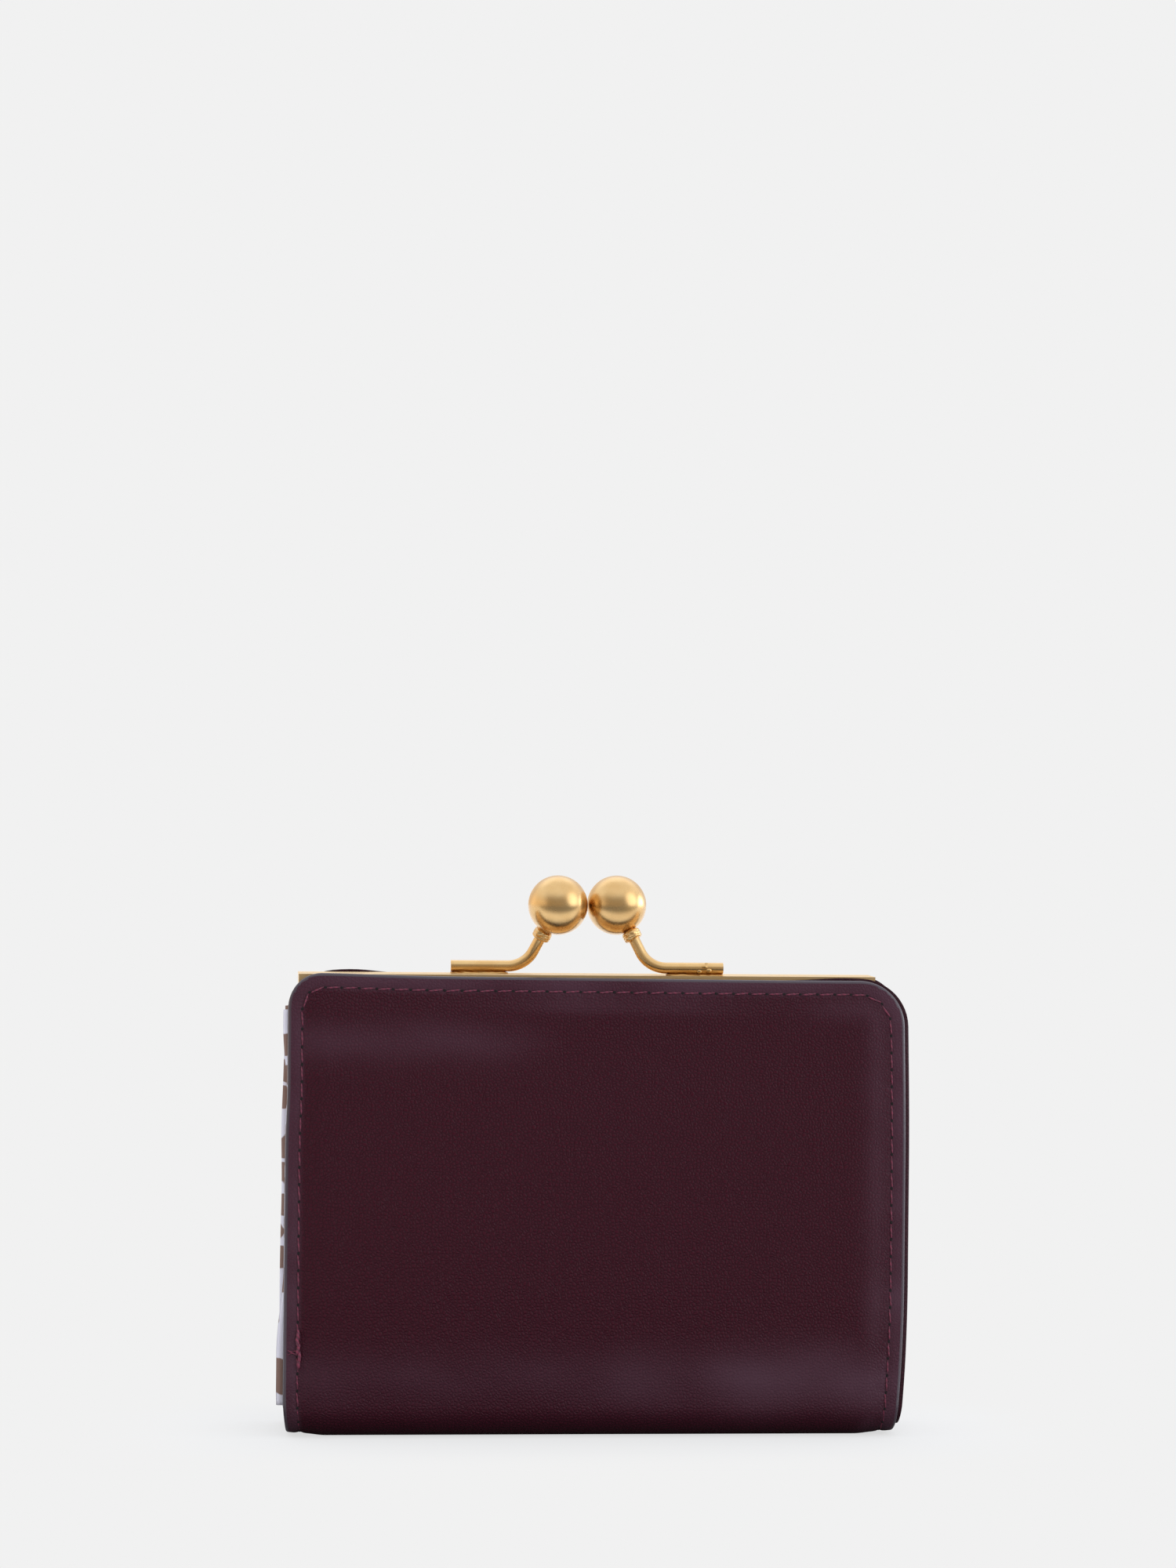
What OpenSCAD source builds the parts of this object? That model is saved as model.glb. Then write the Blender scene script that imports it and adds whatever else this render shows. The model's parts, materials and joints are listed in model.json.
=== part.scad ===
// Compact kiss lock frame purse, closed and standing on its folded base.
// Millimetres, +Z up. Origin: middle of the base, on the table. The front faces -Y, +X is to the right.
// The rear half is the front half turned 180 degrees about the vertical axis through the origin.

/* [Pouch] */
// Width of the leather cover, side to side
panel_w = 109; // [95:1:130]
// Height of the cover's top edge above the table
panel_h = 80.4; // [72:0.1:100]
// Thickness of the closed pouch at its lower walls
body_t = 24; // [22:0.5:32]
// Outer radius of the two folds that run along the base
fold_r = 5.5; // [5:0.1:8]
// Radius of the cover's top corners
corner_r = 6; // [2:0.5:10]
// Height of the band in which the walls bend when the purse opens
bend_h = 8; // [7.5:0.5:12]
// Height of the bend band's top above the hinge axis
bend_over = 2.3; // [2:0.1:4]
// Gap between the bend band and the swinging panels
bend_gap = 0.3; // [0.2:0.1:0.6]

/* [Plies] */
// Thickness of the outer leather
cover_t = 1.2; // [0.8:0.1:1.8]
// Thickness of the foam padding
padding_t = 1.0; // [0.5:0.1:2]
// Thickness of the inner leather facing
facing_t = 0.8; // [0.5:0.1:1.4]
// Thickness of the printed lining fabric
fabric_t = 0.4; // [0.3:0.05:0.6]
// Thickness of the welt tape that joins the panel to the frame
welt_t = 0.5; // [0.3:0.05:0.7]
// Height over which the lining turns from the panel to the frame
turn_h = 3; // [2:0.5:4]
// Gap between one ply and the next
ply_gap = 0.1; // [0.05:0.01:0.15]
// Distance of the border seam from the leather's edge
seam_inset = 2.5; // [2:0.1:4]
// How far the facing's side edges stand out past the cover
facing_proud = 0.4; // [0.1:0.1:0.8]

/* [Gussets] */
// How far the gusset's folded edge stands out past the cover
gusset_proud = 0.7; // [0.4:0.1:1]
// Height of the fabric's end below the cover's top edge
gusset_drop = 5.4; // [4:0.2:8]
// Depth of the inward fold at its bottom end
crease_base = 3; // [2:0.5:6]
// Depth of the inward fold at the bend band
crease_mid = 7; // [4:0.5:9]
// Depth of the inward fold at its top end
crease_top = 15; // [12:0.5:18]
// Width of the flat strip of gusset fabric behind each panel edge
strip_w = 9; // [8:0.5:11]
// Height of the leather tab at the foot of the gusset
tab_h = 4.4; // [3:0.2:8]
// Height of the tab's lower end above the table
tab_z = 11.6; // [8:0.2:20]
// Thickness of the tab
tab_t = 0.6; // [0.4:0.1:1]

/* [Frame] */
// Distance from the cover's side edge to the frame's end
frame_inset = 3.3; // [2:0.1:4.5]
// Height of the frame's top face above the cover's top edge
frame_rise = 0.4; // [0:0.1:2]
// Width of one frame channel, front to rear
rail_t = 4.3; // [4:0.1:5]
// Height of the top rail's channel
rail_h = 5; // [4.5:0.1:6]
// Width of a side arm, in the plane of the panel
arm_w = 3.6; // [3:0.1:4.2]
// Sheet thickness of the brass channel
channel_wall = 0.6; // [0.4:0.05:0.8]
// Gap between the two closed frame halves
frame_gap = 0.3; // [0.2:0.05:0.6]
// Gap between the welt tape and the rail's face at the cover's top edge
rail_clear = 0.5; // [0.2:0.1:1]
// Height of the frame's top face above the hinge axis
arm_drop = 23.1; // [20:0.1:30]

/* [Hinge] */
// Thickness of each hinge ear
ear_t = 0.8; // [0.6:0.05:1]
// Radius of the rounded hinge ears
ear_r = 3.2; // [2.8:0.1:3.4]
// Side gap between the two ears and under the rivet heads
ear_gap = 0.1; // [0.05:0.01:0.15]
// Height of the lower end of a side arm above the hinge axis
arm_end = 3.8; // [3.6:0.1:5]
// Diameter of the hinge rivet
rivet_d = 2.4; // [1.6:0.1:3]
// Radial running clearance of the rivet in the ears
rivet_fit = 0.05; // [0.02:0.01:0.1]
// Diameter of the rivet's heads
head_d = 4.4; // [4:0.1:5]
// Height of the rivet's heads
head_t = 0.8; // [0.5:0.1:1.2]

/* [Clasp] */
// Diameter of the two clasp balls
ball_d = 10.6; // [8:0.1:13]
// Gap between the balls when they pass each other
ball_pass = 0.05; // [0.02:0.01:0.2]
// Height of the balls' centres above the frame's top face
ball_rise = 12.3; // [11.5:0.1:16]
// How far each closed ball's centre lies past the middle plane
ball_cross = 1; // [0.6:0.1:2]
// Diameter of the clasp wires
wire_d = 2.0; // [1.6:0.1:2.4]
// Slope of the risers as seen from the front, in degrees
riser_deg = 63.5; // [58:0.5:70]
// Length of a wire's foot, from the riser's own line
foot_l = 13.3; // [10:0.1:16]
// Radius of the wire's elbow
elbow_r = 5; // [4:0.1:5.5]
// Depth of the wire in the ball's socket
socket_h = 3; // [2:0.1:4]
// Radial fit of the wire in the collar and the ball
wire_fit = 0.02; // [0.01:0.01:0.05]
// Diameter of the turned collar under the ball
collar_d = 3.3; // [2.8:0.1:4]
// Length of the turned collar
collar_h = 1.7; // [1.2:0.1:2]
// Thickness of the solder between foot and rail
solder_t = 0.3; // [0.1:0.05:0.6]
// Width of the solder bed, front to rear
solder_w = 2.6; // [2:0.1:3.4]

/* [Hidden] */
$fn = 64;
// Overlap of cutting shapes past the faces they cut
cut = 1;

// Colours
leather_col = "#3a242b";
facing_col = "#4a2a34";
fabric_col = "#d9d6cf";
foam_col = "#8d8a86";
brass_col = "#b48c50";
tape_col = "#2b2326";
solder_col = "#c9a468";

// Heights
frame_top = panel_h + frame_rise;
rail_foot = frame_top - rail_h;
hinge_z = frame_top - arm_drop;
bend_z1 = hinge_z + bend_over;
bend_z0 = bend_z1 - bend_h;
kink_z = (bend_z0 + bend_z1) / 2;
gusset_z1 = panel_h - gusset_drop;

// Depths of the plies, measured inward from the cover's outer face
padding_in = cover_t + ply_gap;
facing_in = padding_in + padding_t + ply_gap;
fabric_in = facing_in + facing_t + ply_gap;

// Half widths, from the middle plane outward
half_w = panel_w / 2;
half_t = body_t / 2;
frame_half = half_w - frame_inset;
rail_in = frame_gap / 2;
rail_out = rail_in + rail_t;
rail_mid = (rail_in + rail_out) / 2;
top_half = rail_out + rail_clear + welt_t + fabric_in;
gusset_edge = half_w + gusset_proud;
strip_end = gusset_edge - strip_w;
padding_half = half_w - seam_inset;

// Outer face of the cover at a height: upright up to the kink, then leaning in to the frame
lean = (half_t - top_half) / (panel_h - kink_z);
function outer_y(z) = half_t - max(0, z - kink_z) * lean;

// Lining turn: the fabric leaves the panel here and runs into the rail's channel
channel_in = rail_in + channel_wall;
channel_w = rail_t - 2 * channel_wall;
mouth_z = rail_foot - welt_t - 2 * ply_gap - fabric_t / 2;
turn_z = mouth_z - turn_h;
web_z1 = turn_z - ply_gap;
tuck_z = frame_top - channel_wall - ply_gap;
gusset_z0 = fabric_in + fabric_t + 4 * ply_gap;
cord_d = channel_w - fabric_t - welt_t - 4 * ply_gap;

// Clasp geometry
ball_x = (ball_d + ball_pass) / 2;
foot_z = frame_top + solder_t + wire_d / 2;
ball_z = frame_top + ball_rise;
rise = ball_z - foot_z;
riser_run = rise / tan(riser_deg);
corner_x = ball_x + riser_run;
foot_end = corner_x + foot_l;
tilt = atan2(rail_mid + ball_cross, rise);
tilted_rise = norm([rise, rail_mid + ball_cross]);
turn_deg = atan2(tilted_rise, riser_run);
elbow_t = elbow_r * tan(turn_deg / 2);
elbow_x = corner_x + elbow_t;
riser_l = norm([riser_run, tilted_rise]) - elbow_t;
ball_face = riser_l - ball_d / 2;

// Places a piece of the front half, or the same piece turned to the rear
module at_half(side) {
    rotate([0, 0, side == "rear" ? 180 : 0])
        children();
}

// Extrudes an outline drawn in Y and Z along X, both ways from the middle
module along_x(half) {
    rotate([90, 0, 90])
        translate([0, 0, -half])
            linear_extrude(2 * half)
                children();
}

// Points in the middle of a ply of the front wall, at the heights given
function wall_points(depth, thick, heights) = [for (z = heights) [-(outer_y(z) - depth - thick / 2), z]];

// Turns a list round
function turned(list) = [for (i = [len(list) - 1:-1:0]) list[i]];

// Heights at which a wall between two heights starts, changes direction and ends
function wall_heights(z0, z1) = z0 < kink_z && z1 > kink_z ? [z0, kink_z, z1] : [z0, z1];

// Unit vector square to the line from one point to the next
function square_to(a, b) = [a.y - b.y, b.x - a.x] / norm(b - a);

// Mitre of a bent sheet at one point of its path
function mitre(path, i) =
    let (before = square_to(path[max(i, 1) - 1], path[max(i, 1)]),
         after = square_to(path[min(i, len(path) - 2)], path[min(i, len(path) - 2) + 1]),
         middle = before + after)
    middle / (middle * before);

// Section of a bent sheet of even thickness along the middle path
module sheet_section(path, thick) {
    one_side = [for (i = [0:len(path) - 1]) path[i] + mitre(path, i) * thick / 2];
    other_side = [for (i = [0:len(path) - 1]) path[i] - mitre(path, i) * thick / 2];
    polygon(concat(one_side, turned(other_side)));
}

// Section of one ply of the front wall between two heights, its ends level
module wall_section(depth, thick, z0, z1) {
    heights = wall_heights(z0, z1);
    outer = wall_points(depth, 0, heights);
    inner = wall_points(depth + thick, 0, heights);
    polygon(concat(outer, turned(inner)));
}

// The pouch's U-shaped section at a depth, open at the top
module u_region(depth, z1) {
    flat_half = half_t - fold_r;
    translate([-(half_t - depth), fold_r])
        square([2 * (half_t - depth), z1 - fold_r]);
    translate([-flat_half, depth])
        square([2 * flat_half, z1 - depth]);
    for (side = [-1, 1])
        translate([side * flat_half, fold_r])
            circle(r = fold_r - depth);
}

// One ply of the lower pouch: front wall, base and rear wall in one sheet
module base_ply(depth, thick, half) {
    along_x(half)
        difference() {
            u_region(depth, bend_z0);
            u_region(depth + thick, bend_z0 + cut);
        }
}

// One ply of the bend band
module bend_ply(depth, thick, half) {
    along_x(half)
        wall_section(depth, thick, bend_z0, bend_z1 - bend_gap);
}

// One ply of an upper panel, with its two top corners rounded
module panel_ply(depth, thick, half, top, radius) {
    intersection() {
        along_x(half)
            wall_section(depth, thick, bend_z1, top);
        rotate([90, 0, 0])
            linear_extrude(half_t)
                rounded_top(half, bend_z1 - cut, top, radius);
    }
}

// Outline of a panel seen from the front
module rounded_top(half, z0, z1, radius) {
    translate([-half, z0])
        square([2 * half, z1 - z0 - radius]);
    translate([-(half - radius), z0])
        square([2 * (half - radius), z1 - z0]);
    for (side = [-1, 1])
        translate([side * (half - radius), z1 - radius])
            circle(r = radius);
}

// Outer leather
module cover_base() {
    color(leather_col)
        base_ply(0, cover_t, half_w);
}

module cover_bend(side) {
    color(leather_col)
        at_half(side)
            bend_ply(0, cover_t, half_w);
}

module cover_panel(side) {
    color(leather_col)
        at_half(side)
            panel_ply(0, cover_t, half_w, panel_h, corner_r);
}

// Foam padding, inside the border seam
module padding_base() {
    color(foam_col)
        base_ply(padding_in, padding_t, padding_half);
}

module padding_panel(side) {
    color(foam_col)
        at_half(side)
            panel_ply(padding_in, padding_t, padding_half, panel_h - seam_inset, corner_r / 2);
}

// Inner leather facing, its edges just proud of the cover's
module facing_base() {
    color(facing_col)
        base_ply(facing_in, facing_t, half_w + facing_proud);
}

module facing_bend(side) {
    color(facing_col)
        at_half(side)
            bend_ply(facing_in, facing_t, half_w + facing_proud);
}

module facing_panel(side) {
    color(facing_col)
        at_half(side)
            panel_ply(facing_in, facing_t, half_w + facing_proud, panel_h, corner_r);
}

// Printed lining of the pouch
module lining_base() {
    color(fabric_col)
        base_ply(fabric_in, fabric_t, lining_half);
}

module lining_bend(side) {
    color(fabric_col)
        at_half(side)
            bend_ply(fabric_in, fabric_t, lining_half);
}

// The lining's top runs up the panel, turns in and is tucked into the rail's channel
module lining_top(side) {
    tuck_y = channel_in + ply_gap + fabric_t / 2;
    color(fabric_col)
        at_half(side)
            along_x(lining_half)
                sheet_section(concat(wall_points(fabric_in, fabric_t, [bend_z1, turn_z]),
                                     [[-tuck_y, mouth_z], [-tuck_y, tuck_z]]), fabric_t);
}

// Side gussets: fabric strips behind the panel edges, joined by an inward V
function crease_depth(z) = z < bend_z0
    ? crease_base + (crease_mid - crease_base) * (z - gusset_z0) / (bend_z0 - gusset_z0)
    : crease_mid + (crease_top - crease_mid) * (z - bend_z0) / (web_z1 - bend_z0);

// Distance from the middle plane to the middle of the fabric strip: it follows the base fold, then the wall
function strip_y(z) = z < fold_r
    ? half_t - fold_r + sqrt(pow(fold_r - fabric_in - fabric_t / 2, 2) - pow(fold_r - z, 2))
    : outer_y(z) - fabric_in - fabric_t / 2;

// Half width of the lining: it ends where the gusset's web leaves the fabric strip
lining_half = strip_end - fabric_t * (1 + crease_top / strip_y(web_z1)) - ply_gap;

// One side of the fabric at a height, from the front edge round the crease to the rear edge
function gusset_side(z, face) =
    let (depth = crease_depth(z), y = strip_y(z), h = fabric_t / 2,
         shift = h * norm([depth, y]) / y, lead = h * depth / y,
         bend_x = strip_end + face * (lead - shift), y_face = y + face * h)
    [[gusset_edge, -y_face, z], [bend_x, -y_face, z], [strip_end - depth - face * shift, 0, z],
     [bend_x, y_face, z], [gusset_edge, y_face, z]];

// One side of a plain strip at a height
function strip_side(z, face) =
    let (y_face = strip_y(z) + face * fabric_t / 2)
    [[strip_end, -y_face, z], [gusset_edge, -y_face, z]];

// Closed ribbon through sections that each list one face of the sheet and then the other, turned
module ribbon(sections) {
    n = len(sections[0]);
    last = len(sections) - 1;
    skin = [for (s = [0:last - 1], i = [0:n - 1])
        let (j = (i + 1) % n)
        each [[s * n + i, s * n + j, (s + 1) * n + j], [s * n + i, (s + 1) * n + j, (s + 1) * n + i]]];
    low_cap = [for (i = [0:n / 2 - 2])
        each [[i, n - 1 - i, n - 2 - i], [i, n - 2 - i, i + 1]]];
    high_cap = [for (face = low_cap) [for (i = [2:-1:0]) face[i] + last * n]];
    polyhedron([for (section = sections) each section], concat(skin, low_cap, high_cap));
}

module gusset_ribbon(heights) {
    ribbon([for (z = heights) concat(turned(gusset_side(z, 1)), gusset_side(z, -1))]);
}

module strip_ribbon(heights) {
    ribbon([for (z = heights) concat(turned(strip_side(z, -1)), strip_side(z, 1))]);
}

// Turns a right-hand piece round to the left
module at_side(side) {
    rotate([0, 0, side == "left" ? 180 : 0])
        children();
}

module gusset(side) {
    color(fabric_col)
        at_side(side)
            gusset_ribbon([gusset_z0, fold_r, bend_z0]);
}

module gusset_top(side) {
    color(fabric_col)
        at_side(side) {
            gusset_ribbon([bend_z0, kink_z, web_z1]);
            for (turn = [0, 1])
                mirror([0, turn, 0])
                    strip_ribbon([web_z1, gusset_z1]);
        }
}

// Leather tab sewn across the foot of the gusset
module gusset_tab(side) {
    tab_half = strip_y(tab_z);
    color(leather_col)
        at_side(side)
            translate([gusset_edge + ply_gap, -tab_half, tab_z])
                cube([tab_t, 2 * tab_half, tab_h]);
}

// Welt tape: sewn to the facing, turned under the rail and tucked into its channel
module welt(side) {
    tuck_y = channel_in + 3 * ply_gap + fabric_t + cord_d + welt_t / 2;
    under_z = rail_foot - ply_gap - welt_t / 2;
    color(tape_col)
        at_half(side)
            along_x(frame_half - arm_w - ply_gap)
                sheet_section(concat(wall_points(fabric_in, welt_t, [panel_h - seam_inset / 2, under_z]),
                                     [[-tuck_y, under_z], [-tuck_y, tuck_z]]), welt_t);
}

// Cord that wedges lining and tape in the rail's channel
module channel_cord(side) {
    color(fabric_col)
        at_half(side)
            translate([0, -(channel_in + 2 * ply_gap + fabric_t + cord_d / 2), tuck_z - cord_d / 2])
                rotate([0, 90, 0])
                    cylinder(h = 2 * (frame_half - arm_w - ply_gap), d = cord_d, center = true);
}

// Frame half: a top rail and two side arms of U channel, each arm ending in a hinge ear
module frame_half_piece(side) {
    ear_x = side == "front" ? frame_half - ear_t : frame_half - 2 * ear_t - ear_gap;
    color(brass_col)
        difference() {
            union() {
                at_half(side)
                    channel_bar();
                for (end = [0, 1])
                    mirror([end, 0, 0])
                        translate([ear_x, 0, 0])
                            ear(side == "front" ? -1 : 1);
            }
            at_half(side)
                channel_hollow();
            translate([0, 0, hinge_z])
                rotate([0, 90, 0])
                    cylinder(h = 2 * frame_half + 2 * cut, r = rivet_d / 2 + rivet_fit, center = true);
        }
}

// Solid bar of the rail and its two arms
module channel_bar() {
    translate([-frame_half, -rail_out, rail_foot])
        cube([2 * frame_half, rail_t, rail_h]);
    for (end = [0, 1])
        mirror([end, 0, 0])
            translate([frame_half - arm_w, -rail_out, hinge_z + arm_end])
                cube([arm_w, rail_t, rail_foot - hinge_z - arm_end]);
}

// Hollow of the channel: open downward along the rail, inward along the arms
module channel_hollow() {
    inner_half = frame_half - channel_wall;
    translate([-inner_half, -rail_out + channel_wall, rail_foot - cut])
        cube([2 * inner_half, channel_w, rail_h - channel_wall + cut]);
    for (end = [0, 1])
        mirror([end, 0, 0])
            translate([frame_half - arm_w - cut, -rail_out + channel_wall, hinge_z + arm_end + channel_wall])
                cube([arm_w - channel_wall + cut, channel_w, rail_foot - hinge_z - arm_end]);
}

// Hinge ear: a round plate on the axis with a neck up to the arm's lower end
module ear(toward) {
    neck_top = hinge_z + arm_end + channel_wall;
    rotate([90, 0, 90])
        linear_extrude(ear_t)
            union() {
                translate([0, hinge_z])
                    circle(r = ear_r);
                polygon([[0, hinge_z], [toward * rail_in, neck_top], [toward * rail_out, neck_top],
                         [toward * rail_out, hinge_z + arm_end], [toward * ear_r, hinge_z]]);
            }
}

// Hinge rivet with a domed outer head and a flat inner head
module hinge_rivet(side) {
    outer_x = frame_half + ear_gap / 2;
    inner_x = frame_half - 2 * ear_t - 3 * ear_gap / 2;
    dome_r = (head_d * head_d / 4 + head_t * head_t) / (2 * head_t);
    color(brass_col)
        at_side(side)
            translate([0, 0, hinge_z])
                rotate([0, 90, 0]) {
                    translate([0, 0, inner_x - head_t])
                        cylinder(h = head_t, d = head_d);
                    translate([0, 0, inner_x - head_t / 2])
                        cylinder(h = outer_x - inner_x + head_t, d = rivet_d);
                    translate([0, 0, outer_x])
                        intersection() {
                            cylinder(h = head_t, d = head_d);
                            translate([0, 0, head_t - dome_r])
                                sphere(r = dome_r);
                        }
                }
}

// Frame of the clasp: origin on the foot's axis, local X along the foot, local Z up the tilted riser plane
module clasp_frame(side) {
    at_half(side)
        translate([0, -rail_mid, foot_z])
            rotate([-tilt, 0, 0])
                children();
}

// Places children at the foot of the riser, with local Z along it
module on_riser() {
    translate([elbow_x - elbow_r * sin(turn_deg), 0, elbow_r * (1 - cos(turn_deg))])
        rotate([0, turn_deg - 90, 0])
            children();
}

// Bent wire: foot on the rail, elbow, and riser into the ball
module clasp_wire(side) {
    color(brass_col)
        clasp_frame(side) {
            translate([elbow_x, 0, 0])
                rotate([0, 90, 0])
                    cylinder(h = foot_end - elbow_x, d = wire_d);
            translate([elbow_x, 0, elbow_r])
                rotate([90, 0, 0])
                    rotate([0, 0, -90 - turn_deg])
                        rotate_extrude(angle = turn_deg)
                            translate([elbow_r, 0])
                                circle(d = wire_d);
            on_riser()
                cylinder(h = ball_face + socket_h, d = wire_d);
        }
}

// Solder that beds the foot on the rail
module solder_bed(side) {
    color(solder_col)
        difference() {
            at_half(side)
                translate([elbow_x, -rail_mid - solder_w / 2, frame_top])
                    cube([foot_end - elbow_x, solder_w, solder_t + wire_d / 4]);
            clasp_frame(side)
                translate([elbow_x - cut, 0, 0])
                    rotate([0, 90, 0])
                        cylinder(h = foot_end - elbow_x + 2 * cut, d = wire_d);
        }
}

// Turned collar of two beads between riser and ball
module ball_collar(side) {
    bead_r = collar_h / 4;
    neck_r = collar_d / 2 - bead_r;
    color(brass_col)
        clasp_frame(side)
            on_riser()
                translate([0, 0, ball_face - collar_h])
                    difference() {
                        union() {
                            cylinder(h = collar_h, r = neck_r);
                            for (level = [1, 3])
                                translate([0, 0, level * bead_r])
                                    rotate_extrude()
                                        translate([neck_r, 0])
                                            circle(r = bead_r, $fn = 24);
                        }
                        translate([0, 0, -cut])
                            cylinder(h = collar_h + 2 * cut, r = wire_d / 2 + wire_fit);
                    }
}

// Clasp ball with a blind socket for its riser
module clasp_ball(side) {
    color(brass_col)
        difference() {
            at_half(side)
                translate([ball_x, ball_cross, ball_z])
                    sphere(d = ball_d);
            clasp_frame(side)
                on_riser()
                    translate([0, 0, ball_face - cut])
                        cylinder(h = socket_h + cut + wire_fit, r = wire_d / 2 + wire_fit);
        }
}

cover_base();
cover_bend("front");  // cover_front_bend
cover_bend("rear");  // cover_rear_bend
cover_panel("front");  // cover_front
cover_panel("rear");  // cover_rear
padding_base();
padding_panel("front");  // padding_front
padding_panel("rear");  // padding_rear
facing_base();
facing_bend("front");  // facing_front_bend
facing_bend("rear");  // facing_rear_bend
facing_panel("front");  // facing_front
facing_panel("rear");  // facing_rear
lining_base();
lining_bend("front");  // lining_front_bend
lining_bend("rear");  // lining_rear_bend
lining_top("front");  // lining_front
lining_top("rear");  // lining_rear
gusset("left");  // gusset_left
gusset("right");  // gusset_right
gusset_top("left");  // gusset_left_top
gusset_top("right");  // gusset_right_top
gusset_tab("left");  // gusset_tab_left
gusset_tab("right");  // gusset_tab_right
welt("front");  // welt_front
welt("rear");  // welt_rear
frame_half_piece("front");  // frame_front
frame_half_piece("rear");  // frame_rear
channel_cord("front");  // channel_cord_front
channel_cord("rear");  // channel_cord_rear
hinge_rivet("left");  // hinge_rivet_left
hinge_rivet("right");  // hinge_rivet_right
clasp_wire("front");  // clasp_wire_front
clasp_wire("rear");  // clasp_wire_rear
solder_bed("front");  // solder_bed_front
solder_bed("rear");  // solder_bed_rear
ball_collar("front");  // ball_collar_front
ball_collar("rear");  // ball_collar_rear
clasp_ball("front");  // clasp_ball_front
clasp_ball("rear");  // clasp_ball_rear
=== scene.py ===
"""Compact kiss lock frame purse: the looks of every piece, in metres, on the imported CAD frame."""

import json
import logging
import math
import random
from bisect import bisect_left
from dataclasses import dataclass, field
from enum import Enum
from typing import Any, Callable, Mapping, Sequence

import bmesh
import bpy
from mathutils import Matrix, Vector, noise

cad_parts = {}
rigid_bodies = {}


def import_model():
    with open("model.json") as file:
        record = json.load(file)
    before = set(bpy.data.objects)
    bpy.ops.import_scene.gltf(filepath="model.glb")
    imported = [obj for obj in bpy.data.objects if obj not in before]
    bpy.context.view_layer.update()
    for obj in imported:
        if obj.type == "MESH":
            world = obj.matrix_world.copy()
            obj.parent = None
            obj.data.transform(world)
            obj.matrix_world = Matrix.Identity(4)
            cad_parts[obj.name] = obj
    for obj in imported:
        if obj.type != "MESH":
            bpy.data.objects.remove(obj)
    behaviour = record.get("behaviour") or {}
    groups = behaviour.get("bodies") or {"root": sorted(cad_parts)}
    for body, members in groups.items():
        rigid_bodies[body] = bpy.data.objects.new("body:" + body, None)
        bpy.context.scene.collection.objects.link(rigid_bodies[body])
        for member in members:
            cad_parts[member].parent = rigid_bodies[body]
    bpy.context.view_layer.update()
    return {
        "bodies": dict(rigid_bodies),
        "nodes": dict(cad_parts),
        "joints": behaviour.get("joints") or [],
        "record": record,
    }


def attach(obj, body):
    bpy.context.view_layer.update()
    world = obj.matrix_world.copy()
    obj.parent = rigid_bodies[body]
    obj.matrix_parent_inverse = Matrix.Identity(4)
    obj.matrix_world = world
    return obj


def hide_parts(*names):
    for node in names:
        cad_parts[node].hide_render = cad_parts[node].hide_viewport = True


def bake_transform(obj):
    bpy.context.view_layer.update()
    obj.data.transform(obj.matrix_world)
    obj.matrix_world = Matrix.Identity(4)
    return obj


log = logging.getLogger("purse")
MM = 0.001
# Millimetres of a sheet in one unit of its UV map
UV_MM = 100.0
# Scale at which the bands of a wave texture are one unit apart
WAVE = 0.314
PRESS_AND_SHEEN = "pressed"
PHOTO_H = 2000
SENSOR = 36


def linear(colour: str) -> tuple[float, float, float, float]:
    """Turns an sRGB hex colour to a linear one.

    Args:
        colour: Six hex digits after a hash.

    Returns:
        Linear red, green and blue, and an alpha of 1.
    """
    parts = [int(colour[i:i + 2], 16) / 255 for i in (1, 3, 5)]
    red, green, blue = (c / 12.92 if c <= 0.04045 else ((c + 0.055) / 1.055) ** 2.4 for c in parts)
    return red, green, blue, 1.0


def smooth(low: float, high: float, value: float) -> float:
    """Smooth step from 0 where the value is low to 1 where it is high."""
    t = min(1.0, max(0.0, (value - low) / (high - low)))
    return t * t * (3 - 2 * t)


def bell(centre: float, width: float, value: float) -> float:
    """Gaussian bell: 1 at its centre, and about a third at its width from there."""
    return math.exp(-((value - centre) / width) ** 2)


def add_node(tree: bpy.types.NodeTree, kind: str, inputs: Mapping[str | int, Any] | None = None,
             **settings: Any) -> bpy.types.Node:
    """Adds a node with its settings, values and links.

    Args:
        tree: Node tree that takes it.
        kind: Blender's name of the node type, without its first part.
        inputs: For each input, by name or place, a value, a hex colour, a socket, or a node whose
            first output in use is taken.
        **settings: Properties of the node.

    Returns:
        The new node.
    """
    node = tree.nodes.new(f"ShaderNode{kind}")
    for key, value in settings.items():
        setattr(node, key, value)
    for key, value in (inputs or {}).items():
        if isinstance(value, bpy.types.Node):
            value = next(socket for socket in value.outputs if socket.enabled)
        if isinstance(value, bpy.types.NodeSocket):
            tree.links.new(value, node.inputs[key])
        else:
            node.inputs[key].default_value = linear(value) if isinstance(value, str) else value
    return node


class Half(Enum):
    """One swinging half of the purse. The rear is the front turned by 180 degrees."""

    FRONT = "front"
    REAR = "rear"

    @property
    def body(self) -> str:
        """Name of the CAD body that the half rides on."""
        return f"{self.value}_half"

    @property
    def turn(self) -> int:
        """1 for the front half and -1 for the rear one."""
        return 1 if self is Half.FRONT else -1

    def place(self, x: float, out: float, z: float) -> Vector:
        """Point in metres, from millimetres to the right as seen from outside this half, outward and up."""
        return Vector((x * self.turn, -out * self.turn, z)) * MM

    def turned(self, x: float, s: float) -> tuple[float, float]:
        """Place on a sheet's pattern, which is turned with the half."""
        return x * self.turn, s * self.turn


class Side(Enum):
    """One side of the purse, as seen from the front."""

    LEFT = "left"
    RIGHT = "right"

    @property
    def sign(self) -> int:
        """1 to the right and -1 to the left."""
        return 1 if self is Side.RIGHT else -1


class Layout(Enum):
    """What a pattern is laid out on: the object, or the sheet before it was bent."""

    OBJECT = "Object"
    SHEET = "UV"


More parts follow.
